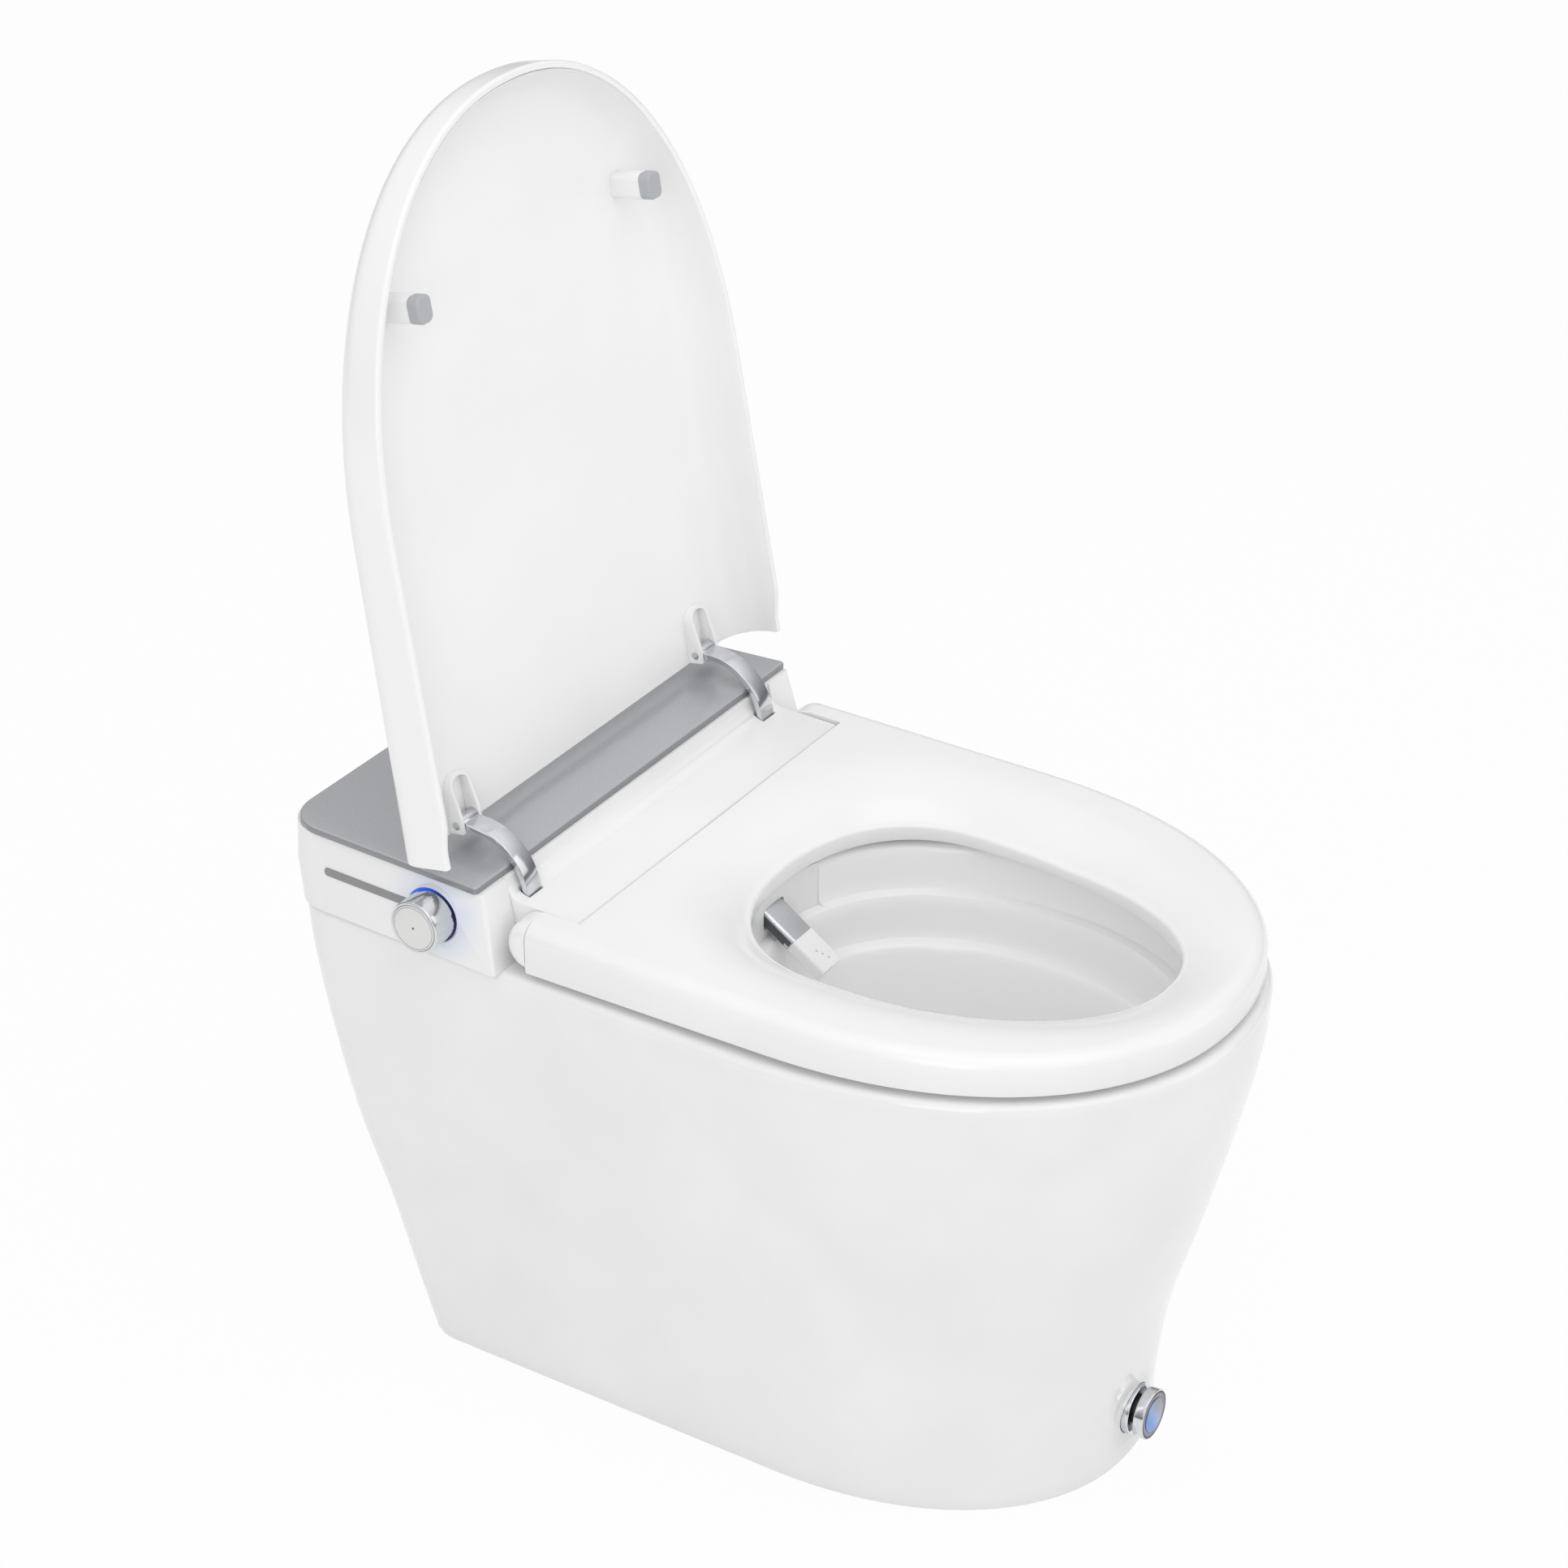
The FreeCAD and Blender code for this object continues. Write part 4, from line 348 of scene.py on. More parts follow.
# Outlet seal: a ring of soft black rubber, moulded, and squeezed between the pan's outlet and the floor flange.
# Rubber is dull and dark, with the fine grain of its mould.
def dressed(node, name, material, soften):
    """A merged copy of a solid, its flat faces made whole and its edges broken, in place of the solid."""
    source = frame["nodes"][node]
    piece = bpy.data.objects.new(name, source.data.copy())
    bpy.context.scene.collection.objects.link(piece)
    bpy.ops.object.select_all(action="DESELECT")
    piece.select_set(True)
    bpy.context.view_layer.objects.active = piece
    bpy.ops.object.mode_set(mode="EDIT")
    bpy.ops.mesh.select_all(action="SELECT")
    bpy.ops.mesh.remove_doubles(threshold=0.00001)
    bpy.ops.mesh.dissolve_limited(angle_limit=math.radians(0.5))
    bpy.ops.object.mode_set(mode="OBJECT")
    if soften:
        bevel = piece.modifiers.new("soft_edges", "BEVEL")
        bevel.width = soften / 1000
        bevel.segments = 3
        bevel.limit_method = "ANGLE"
        bevel.angle_limit = math.radians(40)
        bpy.ops.object.modifier_apply(modifier=bevel.name)
    smooth(piece, 32)
    piece.data.materials.clear()
    piece.data.materials.append(material)
    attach(piece, source["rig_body"])
    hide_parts(node)


BLACK_GRAIN = 0.001
black, tree = blank_finish("black_moulded_rubber")
place = add(tree, "ShaderNodeTexCoord").outputs["Object"]
grain = add(tree, "ShaderNodeTexNoise", {"Vector": place, "Scale": 1 / BLACK_GRAIN, "Detail": 2})
pits = add(tree, "ShaderNodeBump", {"Height": grain.outputs["Fac"], "Strength": 0.2, "Distance": 0.0002})
rubber = add(tree, "ShaderNodeBsdfPrincipled", {"Base Color": linear("#1C1C1E"), "Roughness": 0.4,
                                                "Normal": pits.outputs["Normal"]})
add(tree, "ShaderNodeOutputMaterial", {"Surface": rubber})
dressed("outlet_seal", "outlet_rubber", black, 0.3)

# Chassis, flush tank and inlet valve: grey ABS from a spark-eroded tool, so even, pale and a little dull. The
# chassis is bolted to the deck, the tank hangs under it, and the housing hides them all.
GEAR_EDGE, GREY_GRAIN = 0.2, 0.002
inner_grey, tree = blank_finish("grey_moulded_abs")
place = add(tree, "ShaderNodeTexCoord").outputs["Object"]
grain = add(tree, "ShaderNodeTexNoise", {"Vector": place, "Scale": 1 / GREY_GRAIN, "Detail": 2})
pits = add(tree, "ShaderNodeBump", {"Height": grain.outputs["Fac"], "Strength": 0.1, "Distance": 0.0002})
moulding = add(tree, "ShaderNodeBsdfPrincipled", {"Base Color": linear("#C4C5C7"), "Roughness": 0.45,
                                                  "Normal": pits.outputs["Normal"]})
add(tree, "ShaderNodeOutputMaterial", {"Surface": moulding})
for node in ("chassis", "flush_tank", "inlet_valve"):
    dressed(node, node + "_moulding", inner_grey, GEAR_EDGE)

# Pump, blower and cable gland: black moulded cases with the same dull grain as the seal. The pump hangs beside the
# tank, the blower stands on the chassis, and the gland is screwed through the back of the housing.
for node in ("flush_pump", "dryer_blower", "power_gland"):
    dressed(node, node + "_moulding", black, GEAR_EDGE)

# Chassis bolts, motor can and heater can: stainless steel, turned or drawn and left satin. The fine lines of the
# drawing die blur what it mirrors; they are drawn a little coarser than they are, so that they show.
STEEL_LINES = (0.0004, 0.02, 0.02)
steel, tree = blank_finish("satin_stainless_steel")
place = add(tree, "ShaderNodeTexCoord").outputs["Object"]
drawn = add(tree, "ShaderNodeMapping", {"Vector": place, "Scale": [1 / size for size in STEEL_LINES]})
lines = add(tree, "ShaderNodeTexNoise", {"Vector": drawn.outputs["Vector"], "Scale": 1.0, "Detail": 2})
haze = add(tree, "ShaderNodeMapRange", {"Value": lines.outputs["Fac"], "To Min": 0.24, "To Max": 0.29})
metal = add(tree, "ShaderNodeBsdfPrincipled", {"Base Color": linear("#CDCFD2"), "Metallic": 1.0,
                                               "Roughness": haze.outputs["Result"]})
add(tree, "ShaderNodeOutputMaterial", {"Surface": metal})
for node, slot in (("chassis_screws", "screw_steel"), ("wand_motor", "motor_can"), ("water_heater", "motor_can")):
    dressed(node, node + "_steel", steel, 0)

# Control board: glass and epoxy laminate on pillars of the chassis. Its solder mask is a clear dark green, lighter
# over the copper tracks.
TRACK_SIZE = 0.003
board, tree = blank_finish("green_solder_mask")
place = add(tree, "ShaderNodeTexCoord").outputs["Object"]
tracks = add(tree, "ShaderNodeTexNoise", {"Vector": place, "Scale": 1 / TRACK_SIZE, "Detail": 1})
tint = add(tree, "ShaderNodeValToRGB", {"Fac": tracks.outputs["Fac"]},
           stops=((0.45, linear("#14502E")), (0.55, linear("#1C6A3C"))))
mask = add(tree, "ShaderNodeBsdfPrincipled", {"Base Color": tint.outputs["Color"], "Roughness": 0.35})
add(tree, "ShaderNodeOutputMaterial", {"Surface": mask})
dressed("control_board", "circuit_board", board, 0)

# Water stub: a half-inch connector turned from brass bar, which leaves the back of the housing. Turning leaves it
# warm and bright, with bands that are more and less sharp.
BRASS_BANDS = 0.001
brass, tree = blank_finish("turned_brass")
place = add(tree, "ShaderNodeTexCoord").outputs["Object"]
bands = add(tree, "ShaderNodeTexNoise", {"Vector": place, "Scale": 1 / BRASS_BANDS, "Detail": 2})
haze = add(tree, "ShaderNodeMapRange", {"Value": bands.outputs["Fac"], "To Min": 0.2, "To Max": 0.35})
metal = add(tree, "ShaderNodeBsdfPrincipled", {"Base Color": linear("#C9A85A"), "Metallic": 1.0,
                                               "Roughness": haze.outputs["Result"]})
add(tree, "ShaderNodeOutputMaterial", {"Surface": metal})
dressed("inlet_connector", "water_stub", brass, 0.3)

# Wand drive: a sloping guide of grey ABS in the notch of the deck, and the moulded pinion that turns beside it.
# The wand itself is a drawn steel tube that slides in the guide.
dressed("wand_guide", "wand_guide_moulding", inner_grey, GEAR_EDGE)
dressed("wand_pinion", "wand_pinion_moulding", inner_grey, GEAR_EDGE)
dressed("spray_wand", "wand_tube", steel, 0.4)

# Side inlays of the wand: dark nylon slide strips let into both flanks of the tube, notched at the front end.
# Nylon is dark grey and half dull, with a faint grain.
INLAY_IN, INLAY_OUT, INLAY_HALF, INLAY_FRONT, INLAY_BACK = 12.1, 12.54, 3.6, -31.4, 33.0
NOTCH_FRONT, NOTCH_BACK, NOTCH_LOW, NOTCH_TOP = -40, -27.5, -6, -1.2
NYLON_GRAIN = 0.001
wand_lie = Matrix.Translation((0, 0.013, 0.359)) @ Matrix.Rotation(math.radians(34), 4, "X")
slide, tree = blank_finish("dark_nylon")
place = add(tree, "ShaderNodeTexCoord").outputs["Object"]
grain = add(tree, "ShaderNodeTexNoise", {"Vector": place, "Scale": 1 / NYLON_GRAIN, "Detail": 2})
tint = add(tree, "ShaderNodeValToRGB", {"Fac": grain.outputs["Fac"]},
           stops=((0.35, linear("#48494B")), (0.65, linear("#545557"))))
nylon = add(tree, "ShaderNodeBsdfPrincipled", {"Base Color": tint.outputs["Color"], "Roughness": 0.42})
add(tree, "ShaderNodeOutputMaterial", {"Surface": nylon})


def soft_block(piece, name, edge, segments):
    """Names a new block and breaks its edges."""
    piece.name = piece.data.name = name
    bevel = piece.modifiers.new("soft_edge", "BEVEL")
    bevel.width, bevel.segments = edge / 1000, segments
    bpy.context.view_layer.objects.active = piece
    bpy.ops.object.modifier_apply(modifier=bevel.name)
    smooth(piece, 40)


for side, name in ((-1, "left_wand_inlay"), (1, "right_wand_inlay")):
    low, high = sorted((side * INLAY_IN, side * INLAY_OUT))
    strip = block((low, INLAY_FRONT, -INLAY_HALF), (high, INLAY_BACK, INLAY_HALF))
    cut_out(strip, [block((low - 1, NOTCH_FRONT, NOTCH_LOW), (high + 1, NOTCH_BACK, NOTCH_TOP))])
    strip.data.transform(wand_lie)
    soft_block(strip, name, 0.15, 2)
    strip.data.materials.append(slide)
    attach(strip, "wand")


# Jet head and door of the wand, and hinge cover: white ABS, moulded. The head is pressed on the tube, the door
# closes the notch at the rear of the bowl, and the cover stands on the chassis between the ears of the seat.
def white_moulding(name, painted_glow=None, tints=("#F2F2F2", "#F6F6F6")):
    """White ABS from a mirror-polished tool: a clear soft gloss, a trace of sink waviness, and, where asked for,
    a painted glow: the pale blue of a lit ring painted into the colour, fading out round a centre."""
    cloud_size, wave_size, painted_glow_share = 0.12, 0.06, 0.5
    material, tree = blank_finish(name)
    place = add(tree, "ShaderNodeTexCoord").outputs["Object"]
    cloud = add(tree, "ShaderNodeTexNoise", {"Vector": place, "Scale": 1 / cloud_size, "Detail": 2})
    tint = add(tree, "ShaderNodeValToRGB", {"Fac": cloud.outputs["Fac"]},
               stops=((0.3, linear(tints[0])), (0.7, linear(tints[1]))))
    colour = tint.outputs["Color"]
    if painted_glow:
        centre, near, far = painted_glow
        away = add(tree, "ShaderNodeVectorMath", {0: place, 1: centre}, operation="DISTANCE")
        fade = add(tree, "ShaderNodeMapRange", {"Value": away.outputs["Value"], "From Min": near, "From Max": far,
                                                "To Min": painted_glow_share, "To Max": 0.0},
                   interpolation_type="SMOOTHSTEP")
        # Painted glow: pale blue mixed into the white near the centre, standing in for the light of the ring.
        colour = add(tree, "ShaderNodeMix", {"Factor": fade.outputs["Result"], "A": colour,
                                             "B": linear("#DCE6FC")}, data_type="RGBA")
    wave = add(tree, "ShaderNodeTexNoise", {"Vector": place, "Scale": 1 / wave_size, "Detail": 1})
    ripple = add(tree, "ShaderNodeBump", {"Height": wave.outputs["Fac"], "Strength": 0.02, "Distance": 0.002})
    skin = add(tree, "ShaderNodeBsdfPrincipled", {"Base Color": colour, "Roughness": 0.2, "IOR": 1.5,
                                                  "Normal": ripple.outputs["Normal"]})
    add(tree, "ShaderNodeOutputMaterial", {"Surface": skin})
    return material


gloss = white_moulding("polished_white_abs")
dressed("wand_tip", "wand_jet_head", gloss, 0.3)
dressed("wand_shield", "wand_door", gloss, 0.3)
dressed("hinge_cover", "hinge_cover_moulding", gloss, 0.6)

# Housing: the white shell of the rear box, moulded in the same polished ABS and clipped over the chassis. The blue
# that the lit ring in its left cheek throws is painted into its colour round the knob, a painted glow.
KNOB_MIDDLE, PAINTED_GLOW_NEAR, PAINTED_GLOW_FAR = (-0.2, 0.158, 0.4085), 0.019, 0.046
cheek = white_moulding("polished_white_abs_with_painted_ring_glow", (KNOB_MIDDLE, PAINTED_GLOW_NEAR, PAINTED_GLOW_FAR))
dressed("housing", "rear_housing", cheek, 0.9)

# Cheek inlay: a narrow strip of darker grey ABS, polished, so that it mirrors a little, and clipped into its
# groove. The grey is even, with the faintest cloud.
STRIP_CLOUD = 0.03
inlay, tree = blank_finish("polished_grey_abs")
place = add(tree, "ShaderNodeTexCoord").outputs["Object"]
cloud = add(tree, "ShaderNodeTexNoise", {"Vector": place, "Scale": 1 / STRIP_CLOUD, "Detail": 2})
tint = add(tree, "ShaderNodeValToRGB", {"Fac": cloud.outputs["Fac"]},
           stops=((0.3, linear("#8C8C8F")), (0.7, linear("#929295"))))
moulding = add(tree, "ShaderNodeBsdfPrincipled", {"Base Color": tint.outputs["Color"], "Roughness": 0.22})
add(tree, "ShaderNodeOutputMaterial", {"Surface": moulding})
dressed("side_strip", "cheek_inlay", inlay, 0.15)

# Top panel: a flat moulded cover, clipped on the housing, with a satin grey lacquer that is slightly metallic from
# its flakes. Where the surface turns from facing up to facing sideways it is painted darker: painted shade on the
# edge.
FLAKE_SIZE, EDGE_FACING, FLAT_FACING = 0.0012, 0.25, 0.75
satin, tree = blank_finish("satin_grey_lacquer_with_painted_edge_shade")
place = add(tree, "ShaderNodeTexCoord").outputs["Object"]
flake = add(tree, "ShaderNodeTexNoise", {"Vector": place, "Scale": 1 / FLAKE_SIZE, "Detail": 2})
tint = add(tree, "ShaderNodeValToRGB", {"Fac": flake.outputs["Fac"]},
           stops=((0.35, linear("#B4B5B8")), (0.65, linear("#BCBDC0"))))
# Painted shade: the more the surface faces sideways, the more its grey is mixed towards the darker #929396.
facing = add(tree, "ShaderNodeSeparateXYZ", {"Vector": add(tree, "ShaderNodeNewGeometry").outputs["Normal"]})
flat = add(tree, "ShaderNodeMapRange", {"Value": facing.outputs["Z"], "From Min": EDGE_FACING,
                                        "From Max": FLAT_FACING})
painted_side_shade = add(tree, "ShaderNodeMix", {"Factor": flat.outputs["Result"], "A": linear("#929396"),
                                    "B": tint.outputs["Color"]}, data_type="RGBA")
film = add(tree, "ShaderNodeBsdfPrincipled", {"Base Color": painted_side_shade, "Roughness": 0.26, "Metallic": 0.3})
add(tree, "ShaderNodeOutputMaterial", {"Surface": film})
dressed("top_panel", "grey_top_panel", satin, 0.7)

# Hinge arms: steel straps, bent, polished and chrome plated, each screwed to the chassis by its foot. Chrome is a
# bright mirror, with a faint haze where the polishing wheel went.
POLISH_SIZE, CHROME = 0.004, "#D9DADD"
chrome, tree = blank_finish("chrome_plate")
place = add(tree, "ShaderNodeTexCoord").outputs["Object"]
polish = add(tree, "ShaderNodeTexNoise", {"Vector": place, "Scale": 1 / POLISH_SIZE, "Detail": 3})
haze = add(tree, "ShaderNodeMapRange", {"Value": polish.outputs["Fac"], "To Min": 0.10, "To Max": 0.17})
plate = add(tree, "ShaderNodeBsdfPrincipled", {"Base Color": linear(CHROME), "Metallic": 1.0,
                                               "Roughness": haze.outputs["Result"]})
add(tree, "ShaderNodeOutputMaterial", {"Surface": plate})
dressed("hinge_arm_left", "left_hinge_arm", chrome, 0.5)
dressed("hinge_arm_right", "right_hinge_arm", chrome, 0.5)
dressed("arm_screws", "arm_screws_steel", steel, 0)

# Slot liners: soft black rubber frames pressed into the slots of the hinge cover, one round the foot of each arm.
# They stand a little proud of the flap, whose height is read from the cover.
SLOT_IN, SLOT_OUT, SLOT_FRONT, SLOT_BACK = 140.9, 159.9, 104.4, 112.0
LINER_DEEP, LINER_PROUD, FLAP_END = 4.0, 0.5, 0.1
cover = frame["nodes"]["hinge_cover"].data
flap_top = 1000 * max(vertex.co.z for vertex in cover.vertices if vertex.co.y < FLAP_END)
for side, name in ((-1, "left_slot_liner"), (1, "right_slot_liner")):
    low, high = sorted((side * SLOT_IN, side * SLOT_OUT))
    liner = block((low, SLOT_FRONT, flap_top - LINER_DEEP), (high, SLOT_BACK, flap_top + LINER_PROUD))
    soft_block(liner, name, 0.4, 3)
    liner.data.materials.append(black)
    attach(liner, "base")

# Seat: a hollow heated ring of polished white ABS, wedge-shaped from the ears to the front, moulded in two halves
# and welded. Its opening is an egg with a deep roll, its rear is hollowed round the hinge cover and over the wand,
# and two round ears carry the pins.
SEAT_HALF, SEAT_REAR_HALF, SEAT_FRONT, SEAT_WIDEST, SEAT_CORNER = 197.0, 195.5, 355.0, 108.0, 0.6
SEAT_LOW, SEAT_TOP, SEAT_BACK, SEAT_AXIS = 382.0, 419.0, 84.5, (0, 84.5, 400.5)
SEAT_SLOPE = 11 / 439.5
SEAT_UNDER_EDGE = ((3, 0), (0.9, 0.9), (0, 3))  # inset and rise
SEAT_ROUND, SEAT_ROUND_DROP = 12.0, 11.0
SEAT_DISH, SEAT_LIP, SEAT_ROLL, ROLL_POWER, ROLL_END_POWER = 20.0, 3.0, 74.0, 3.1, 3
DISH_EASE, DISH_EASE_START, DISH_EASE_RUN = 9.0, 170.0, 130.0
CROWN_ROWS = (0.03, 0.07, 0.12, 0.18, 0.25, 0.33, 0.42, 0.52, 0.63, 0.75, 0.88, 1)
HOLE_HALF, HOLE_FRONT, HOLE_REAR, HOLE_WIDEST = 113.0, 303.0, 1.0, 95.0
EAR_IN, EAR_RADIUS, EAR_BREAK, EAR_ROWS = 170.8, 18.5, 0.8, 48
COVER_RADIUS = 33.82
WAND_RELIEF = ((-EAR_IN, -60, -11), (EAR_IN, 110, 11))
PIN_RADIUS, PIN_START, PIN_END = 5.05, 165.0, 188.3


def seat_rim(inset):
    """Outline of the seat."""
    return d_outline(SEAT_HALF - inset, SEAT_REAR_HALF - inset, SEAT_FRONT - inset, SEAT_BACK, SEAT_CORNER,
                     SEAT_WIDEST)


def seat_hole(grow):
    """Egg that is widest towards its rear, each point on the ray through the matching point of the rim."""
    ring = []
    for x, y in seat_rim(0):
        turn = math.atan2(y + HOLE_WIDEST, x)
        length = HOLE_FRONT - HOLE_WIDEST if turn < 0 else HOLE_WIDEST - HOLE_REAR
        reach = egg_reach(HOLE_HALF + grow, length + grow, turn)
        ring.append((reach * math.cos(turn), reach * math.sin(turn) - HOLE_WIDEST))
    return ring


def seat_row(outline, inset, z, slope=SEAT_SLOPE):
    """Row of points on the seat, whose top falls from the ears to the front."""
    return [(x, y, z + slope * (y - SEAT_BACK)) for x, y in outline(inset)]


def dish(y):
    """How far the top is sunk at the edge of the opening: less towards the front."""
    return SEAT_DISH - DISH_EASE * min(1, max(0, (-y - DISH_EASE_START) / DISH_EASE_RUN))


seat_rows = [seat_row(seat_hole, inset, SEAT_LOW + rise, 0) for inset, rise in SEAT_UNDER_EDGE]
for inset, drop in rounding(SEAT_LIP, SEAT_LIP, 7):
    seat_rows.append([(x, y, z - dish(y)) for x, y, z in seat_row(seat_hole, inset, SEAT_TOP - drop)])
lip, shoulder = seat_row(seat_hole, SEAT_LIP, SEAT_TOP), seat_row(seat_rim, SEAT_ROUND + 1, SEAT_TOP)
for share in CROWN_ROWS:
    row = []
    for (x, y, z), (lip_x, lip_y, _) in zip(between(lip, shoulder, share), lip):
        near = max(0, 1 - math.hypot(x - lip_x, y - lip_y) / SEAT_ROLL)
        row.append((x, y, z - dish(lip_y) * near ** ROLL_POWER * (1 - share ** ROLL_END_POWER)))
    seat_rows.append(row)
seat_round = list(reversed(rounding(SEAT_ROUND, SEAT_ROUND_DROP, 10)))
seat_rows += [seat_row(seat_rim, inset, SEAT_TOP - drop) for inset, drop in seat_round]
seat_rows += [seat_row(seat_rim, inset, SEAT_LOW + rise, 0) for inset, rise in reversed(SEAT_UNDER_EDGE)]
seat_rows.append(between(seat_rows[-1], seat_rows[0], 0.5))
seat = wrapped("heated_seat", seat_rows + seat_rows[:1])
relief = block(*WAND_RELIEF)
relief.data.transform(wand_lie)
cut_out(seat, [drum(SEAT_AXIS, "x", COVER_RADIUS, -EAR_IN, EAR_IN, 96), relief])


def ear(side):
    """Half a turn of the seat's end section about the hinge axis."""
    section = [(EAR_IN, 0.0), (EAR_IN, EAR_RADIUS - EAR_BREAK), (EAR_IN + EAR_BREAK, EAR_RADIUS)]
    section += [(SEAT_REAR_HALF - inset, EAR_RADIUS - drop) for inset, drop in seat_round]
    section.append((SEAT_REAR_HALF, 0.0))
    rows = []
    for k in range(EAR_ROWS + 1):
        turn = math.pi * k / EAR_ROWS
        y, z = math.sin(turn), math.cos(turn)
        rows.append([(side * x, SEAT_AXIS[1] + r * y, SEAT_AXIS[2] + r * z) for x, r in section])
    return wrapped("seat_ear", rows)


ears = [ear(-1), ear(1)]
bpy.ops.object.select_all(action="DESELECT")
for part in ears + [seat]:
    part.select_set(True)
bpy.context.view_layer.objects.active = seat
bpy.ops.object.join()
cut_out(seat, [drum(SEAT_AXIS, "x", PIN_RADIUS, -PIN_END, -PIN_START, 32),
               drum(SEAT_AXIS, "x", PIN_RADIUS, PIN_START, PIN_END, 32)])
smooth(seat, 38)
seat.data.materials.append(gloss)
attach(seat, "seat")
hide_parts("seat_top", "seat_base", "seat_heater")

# Seat pins and feet: turned steel pins pressed into the ears, and soft grey feet pushed into the seat's underside.
# The feet are thermoplastic rubber, mid grey and matt, with a pitted skin.
SOFT_GRAIN, PIN_EDGE, SOFT_EDGE = 0.0015, 0.2, 0.3
soft, tree = blank_finish("grey_rubber")
place = add(tree, "ShaderNodeTexCoord").outputs["Object"]
grain = add(tree, "ShaderNodeTexNoise", {"Vector": place, "Scale": 1 / SOFT_GRAIN, "Detail": 3})
pits = add(tree, "ShaderNodeBump", {"Height": grain.outputs["Fac"], "Strength": 0.15, "Distance": 0.0003})
rubber = add(tree, "ShaderNodeBsdfPrincipled", {"Base Color": linear("#B4B6B9"), "Roughness": 0.55,
                                                "Normal": pits.outputs["Normal"]})
add(tree, "ShaderNodeOutputMaterial", {"Surface": rubber})
dressed("seat_pins", "seat_hinge_pins", steel, PIN_EDGE)
dressed("seat_pads", "seat_feet", soft, SOFT_EDGE)

# Lid: one deep tray of white ABS with a high gloss, a soft inner corner and no wall at its hinge end. Shell and
# inner plate are moulded apart and welded, so they are one piece to the eye. It is drawn closed, then swung open.
LID_HALF, LID_REAR_HALF, LID_FRONT, LID_WIDEST = 210.0, 213.0, 482.0, 210.0
LID_SLOPE, LID_TOP, LID_RIM, LID_TAIL, LID_SQUARE = 13 / 488.5, 12.83, -33.0, 6.5, 22.5
LID_BACK_ROUND, LID_COVE, LID_SKIN, LID_WALL = 16.0, 27.0, 6.5, 5.5
LID_RIM_EDGE = ((0.5, 0.7), (1.6, 0), (4.0, 0), (5.1, 0.6), (LID_WALL, 2))  # inset and rise
LID_PULLS = (1, 0.8, 0.55, 0.3, 0.12, 0.03)
RIM_LIFT, RIM_LIFT_START, RIM_LIFT_RUN = 4, 26, 20
LID_PIN, LID_OPEN = Vector((0, 162.7, 458.1)), math.radians(-99.8)


def lid_edge(inset, pull=0.0):
    """Open row of points from one square rear end round the nose to the other, pulled towards the middle line."""
    side_steps, nose_steps, rear_crowding = 30, 48, 1.5
    half, rear_half, front = LID_HALF - inset, LID_REAR_HALF - inset, LID_FRONT - inset
    run = []
    for k in range(side_steps):
        y = LID_TAIL - (LID_TAIL + LID_WIDEST) * (k / side_steps) ** rear_crowding
        run.append((rear_half + (half - rear_half) * (LID_SQUARE - y) / (LID_SQUARE + LID_WIDEST), y))
    for k in range(nose_steps + 1):
        x, ahead = nose_point(half, front - LID_WIDEST, math.pi / 2 * k / nose_steps)
        run.append((x, -LID_WIDEST - ahead))
    keep = 1 - pull
    run = [(x * keep, y if y > -LID_WIDEST else -LID_WIDEST + (y + LID_WIDEST) * keep) for x, y in run]
    return run + [(-x, y) for x, y in run[-2::-1]]


def lid_row(inset, z, pull=0.0):
    """Row on the back or inside of the lid, which slopes from the hinge to the nose."""
    return [(x, y, z + LID_SLOPE * y) for x, y in lid_edge(inset, pull)]


def rim_row(inset, rise):
    """Row on the rim, which lifts towards the rear end to clear the knob."""
    return [(x, y, LID_RIM + rise + RIM_LIFT * min(1, max(0, (y + RIM_LIFT_START) / RIM_LIFT_RUN)))
            for x, y in lid_edge(inset)]


lid_rows = [lid_row(LID_BACK_ROUND + 1, LID_TOP, pull) for pull in LID_PULLS]
for inset, drop in reversed(rounding(LID_BACK_ROUND, LID_BACK_ROUND, 10)):
    lid_rows.append(lid_row(inset, LID_TOP - drop))
side_high, side_low = lid_rows[-1], rim_row(0, 2)
lid_rows += [between(side_high, side_low, share) for share in (0.3, 0.6, 0.9, 1)]
lid_rows += [rim_row(inset, rise) for inset, rise in LID_RIM_EDGE]
inside = LID_TOP - LID_SKIN
lid_rows += [lid_row(LID_WALL + inset, inside - drop) for inset, drop in rounding(LID_COVE, LID_COVE, 12)]
lid_rows += [lid_row(LID_WALL + LID_COVE, inside, pull) for pull in reversed(LID_PULLS)]
lid = wrapped("moulded_lid", lid_rows, closed=False)
bpy.ops.object.mode_set(mode="EDIT")
bpy.ops.mesh.select_all(action="DESELECT")
bpy.ops.mesh.select_non_manifold()
bpy.ops.mesh.edge_face_add()
bpy.ops.mesh.select_all(action="SELECT")
bpy.ops.mesh.normals_make_consistent(inside=False)
bpy.ops.object.mode_set(mode="OBJECT")
lid.data.transform(Matrix.Translation(LID_PIN / 1000) @ Matrix.Rotation(LID_OPEN, 4, "X"))
smooth(lid, 40)
# Painted light: the lid has its own copy of the white ABS, painted lighter than the seat's, to brighten its shaded
# inside.
lid.data.materials.append(white_moulding("polished_white_abs_painted_lighter_for_lid", tints=("#F7F7F7", "#FAFAFA")))
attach(lid, "lid")
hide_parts("lid_shell", "lid_liner")

# Lid lugs, posts, caps and pins: the lugs and the posts are white ABS, welded to the inner plate. Soft grey caps
# are pushed on the posts, and turned steel pins go through the lugs and the eyes of the arms.
dressed("lid_lugs", "lid_hinge_lugs", gloss, 0.8)
dressed("lid_buffer_posts", "lid_posts", gloss, 0.4)
dressed("lid_buffer_caps", "lid_soft_caps", soft, SOFT_EDGE)
dressed("lid_hinge_pins", "lid_pins", steel, PIN_EDGE)

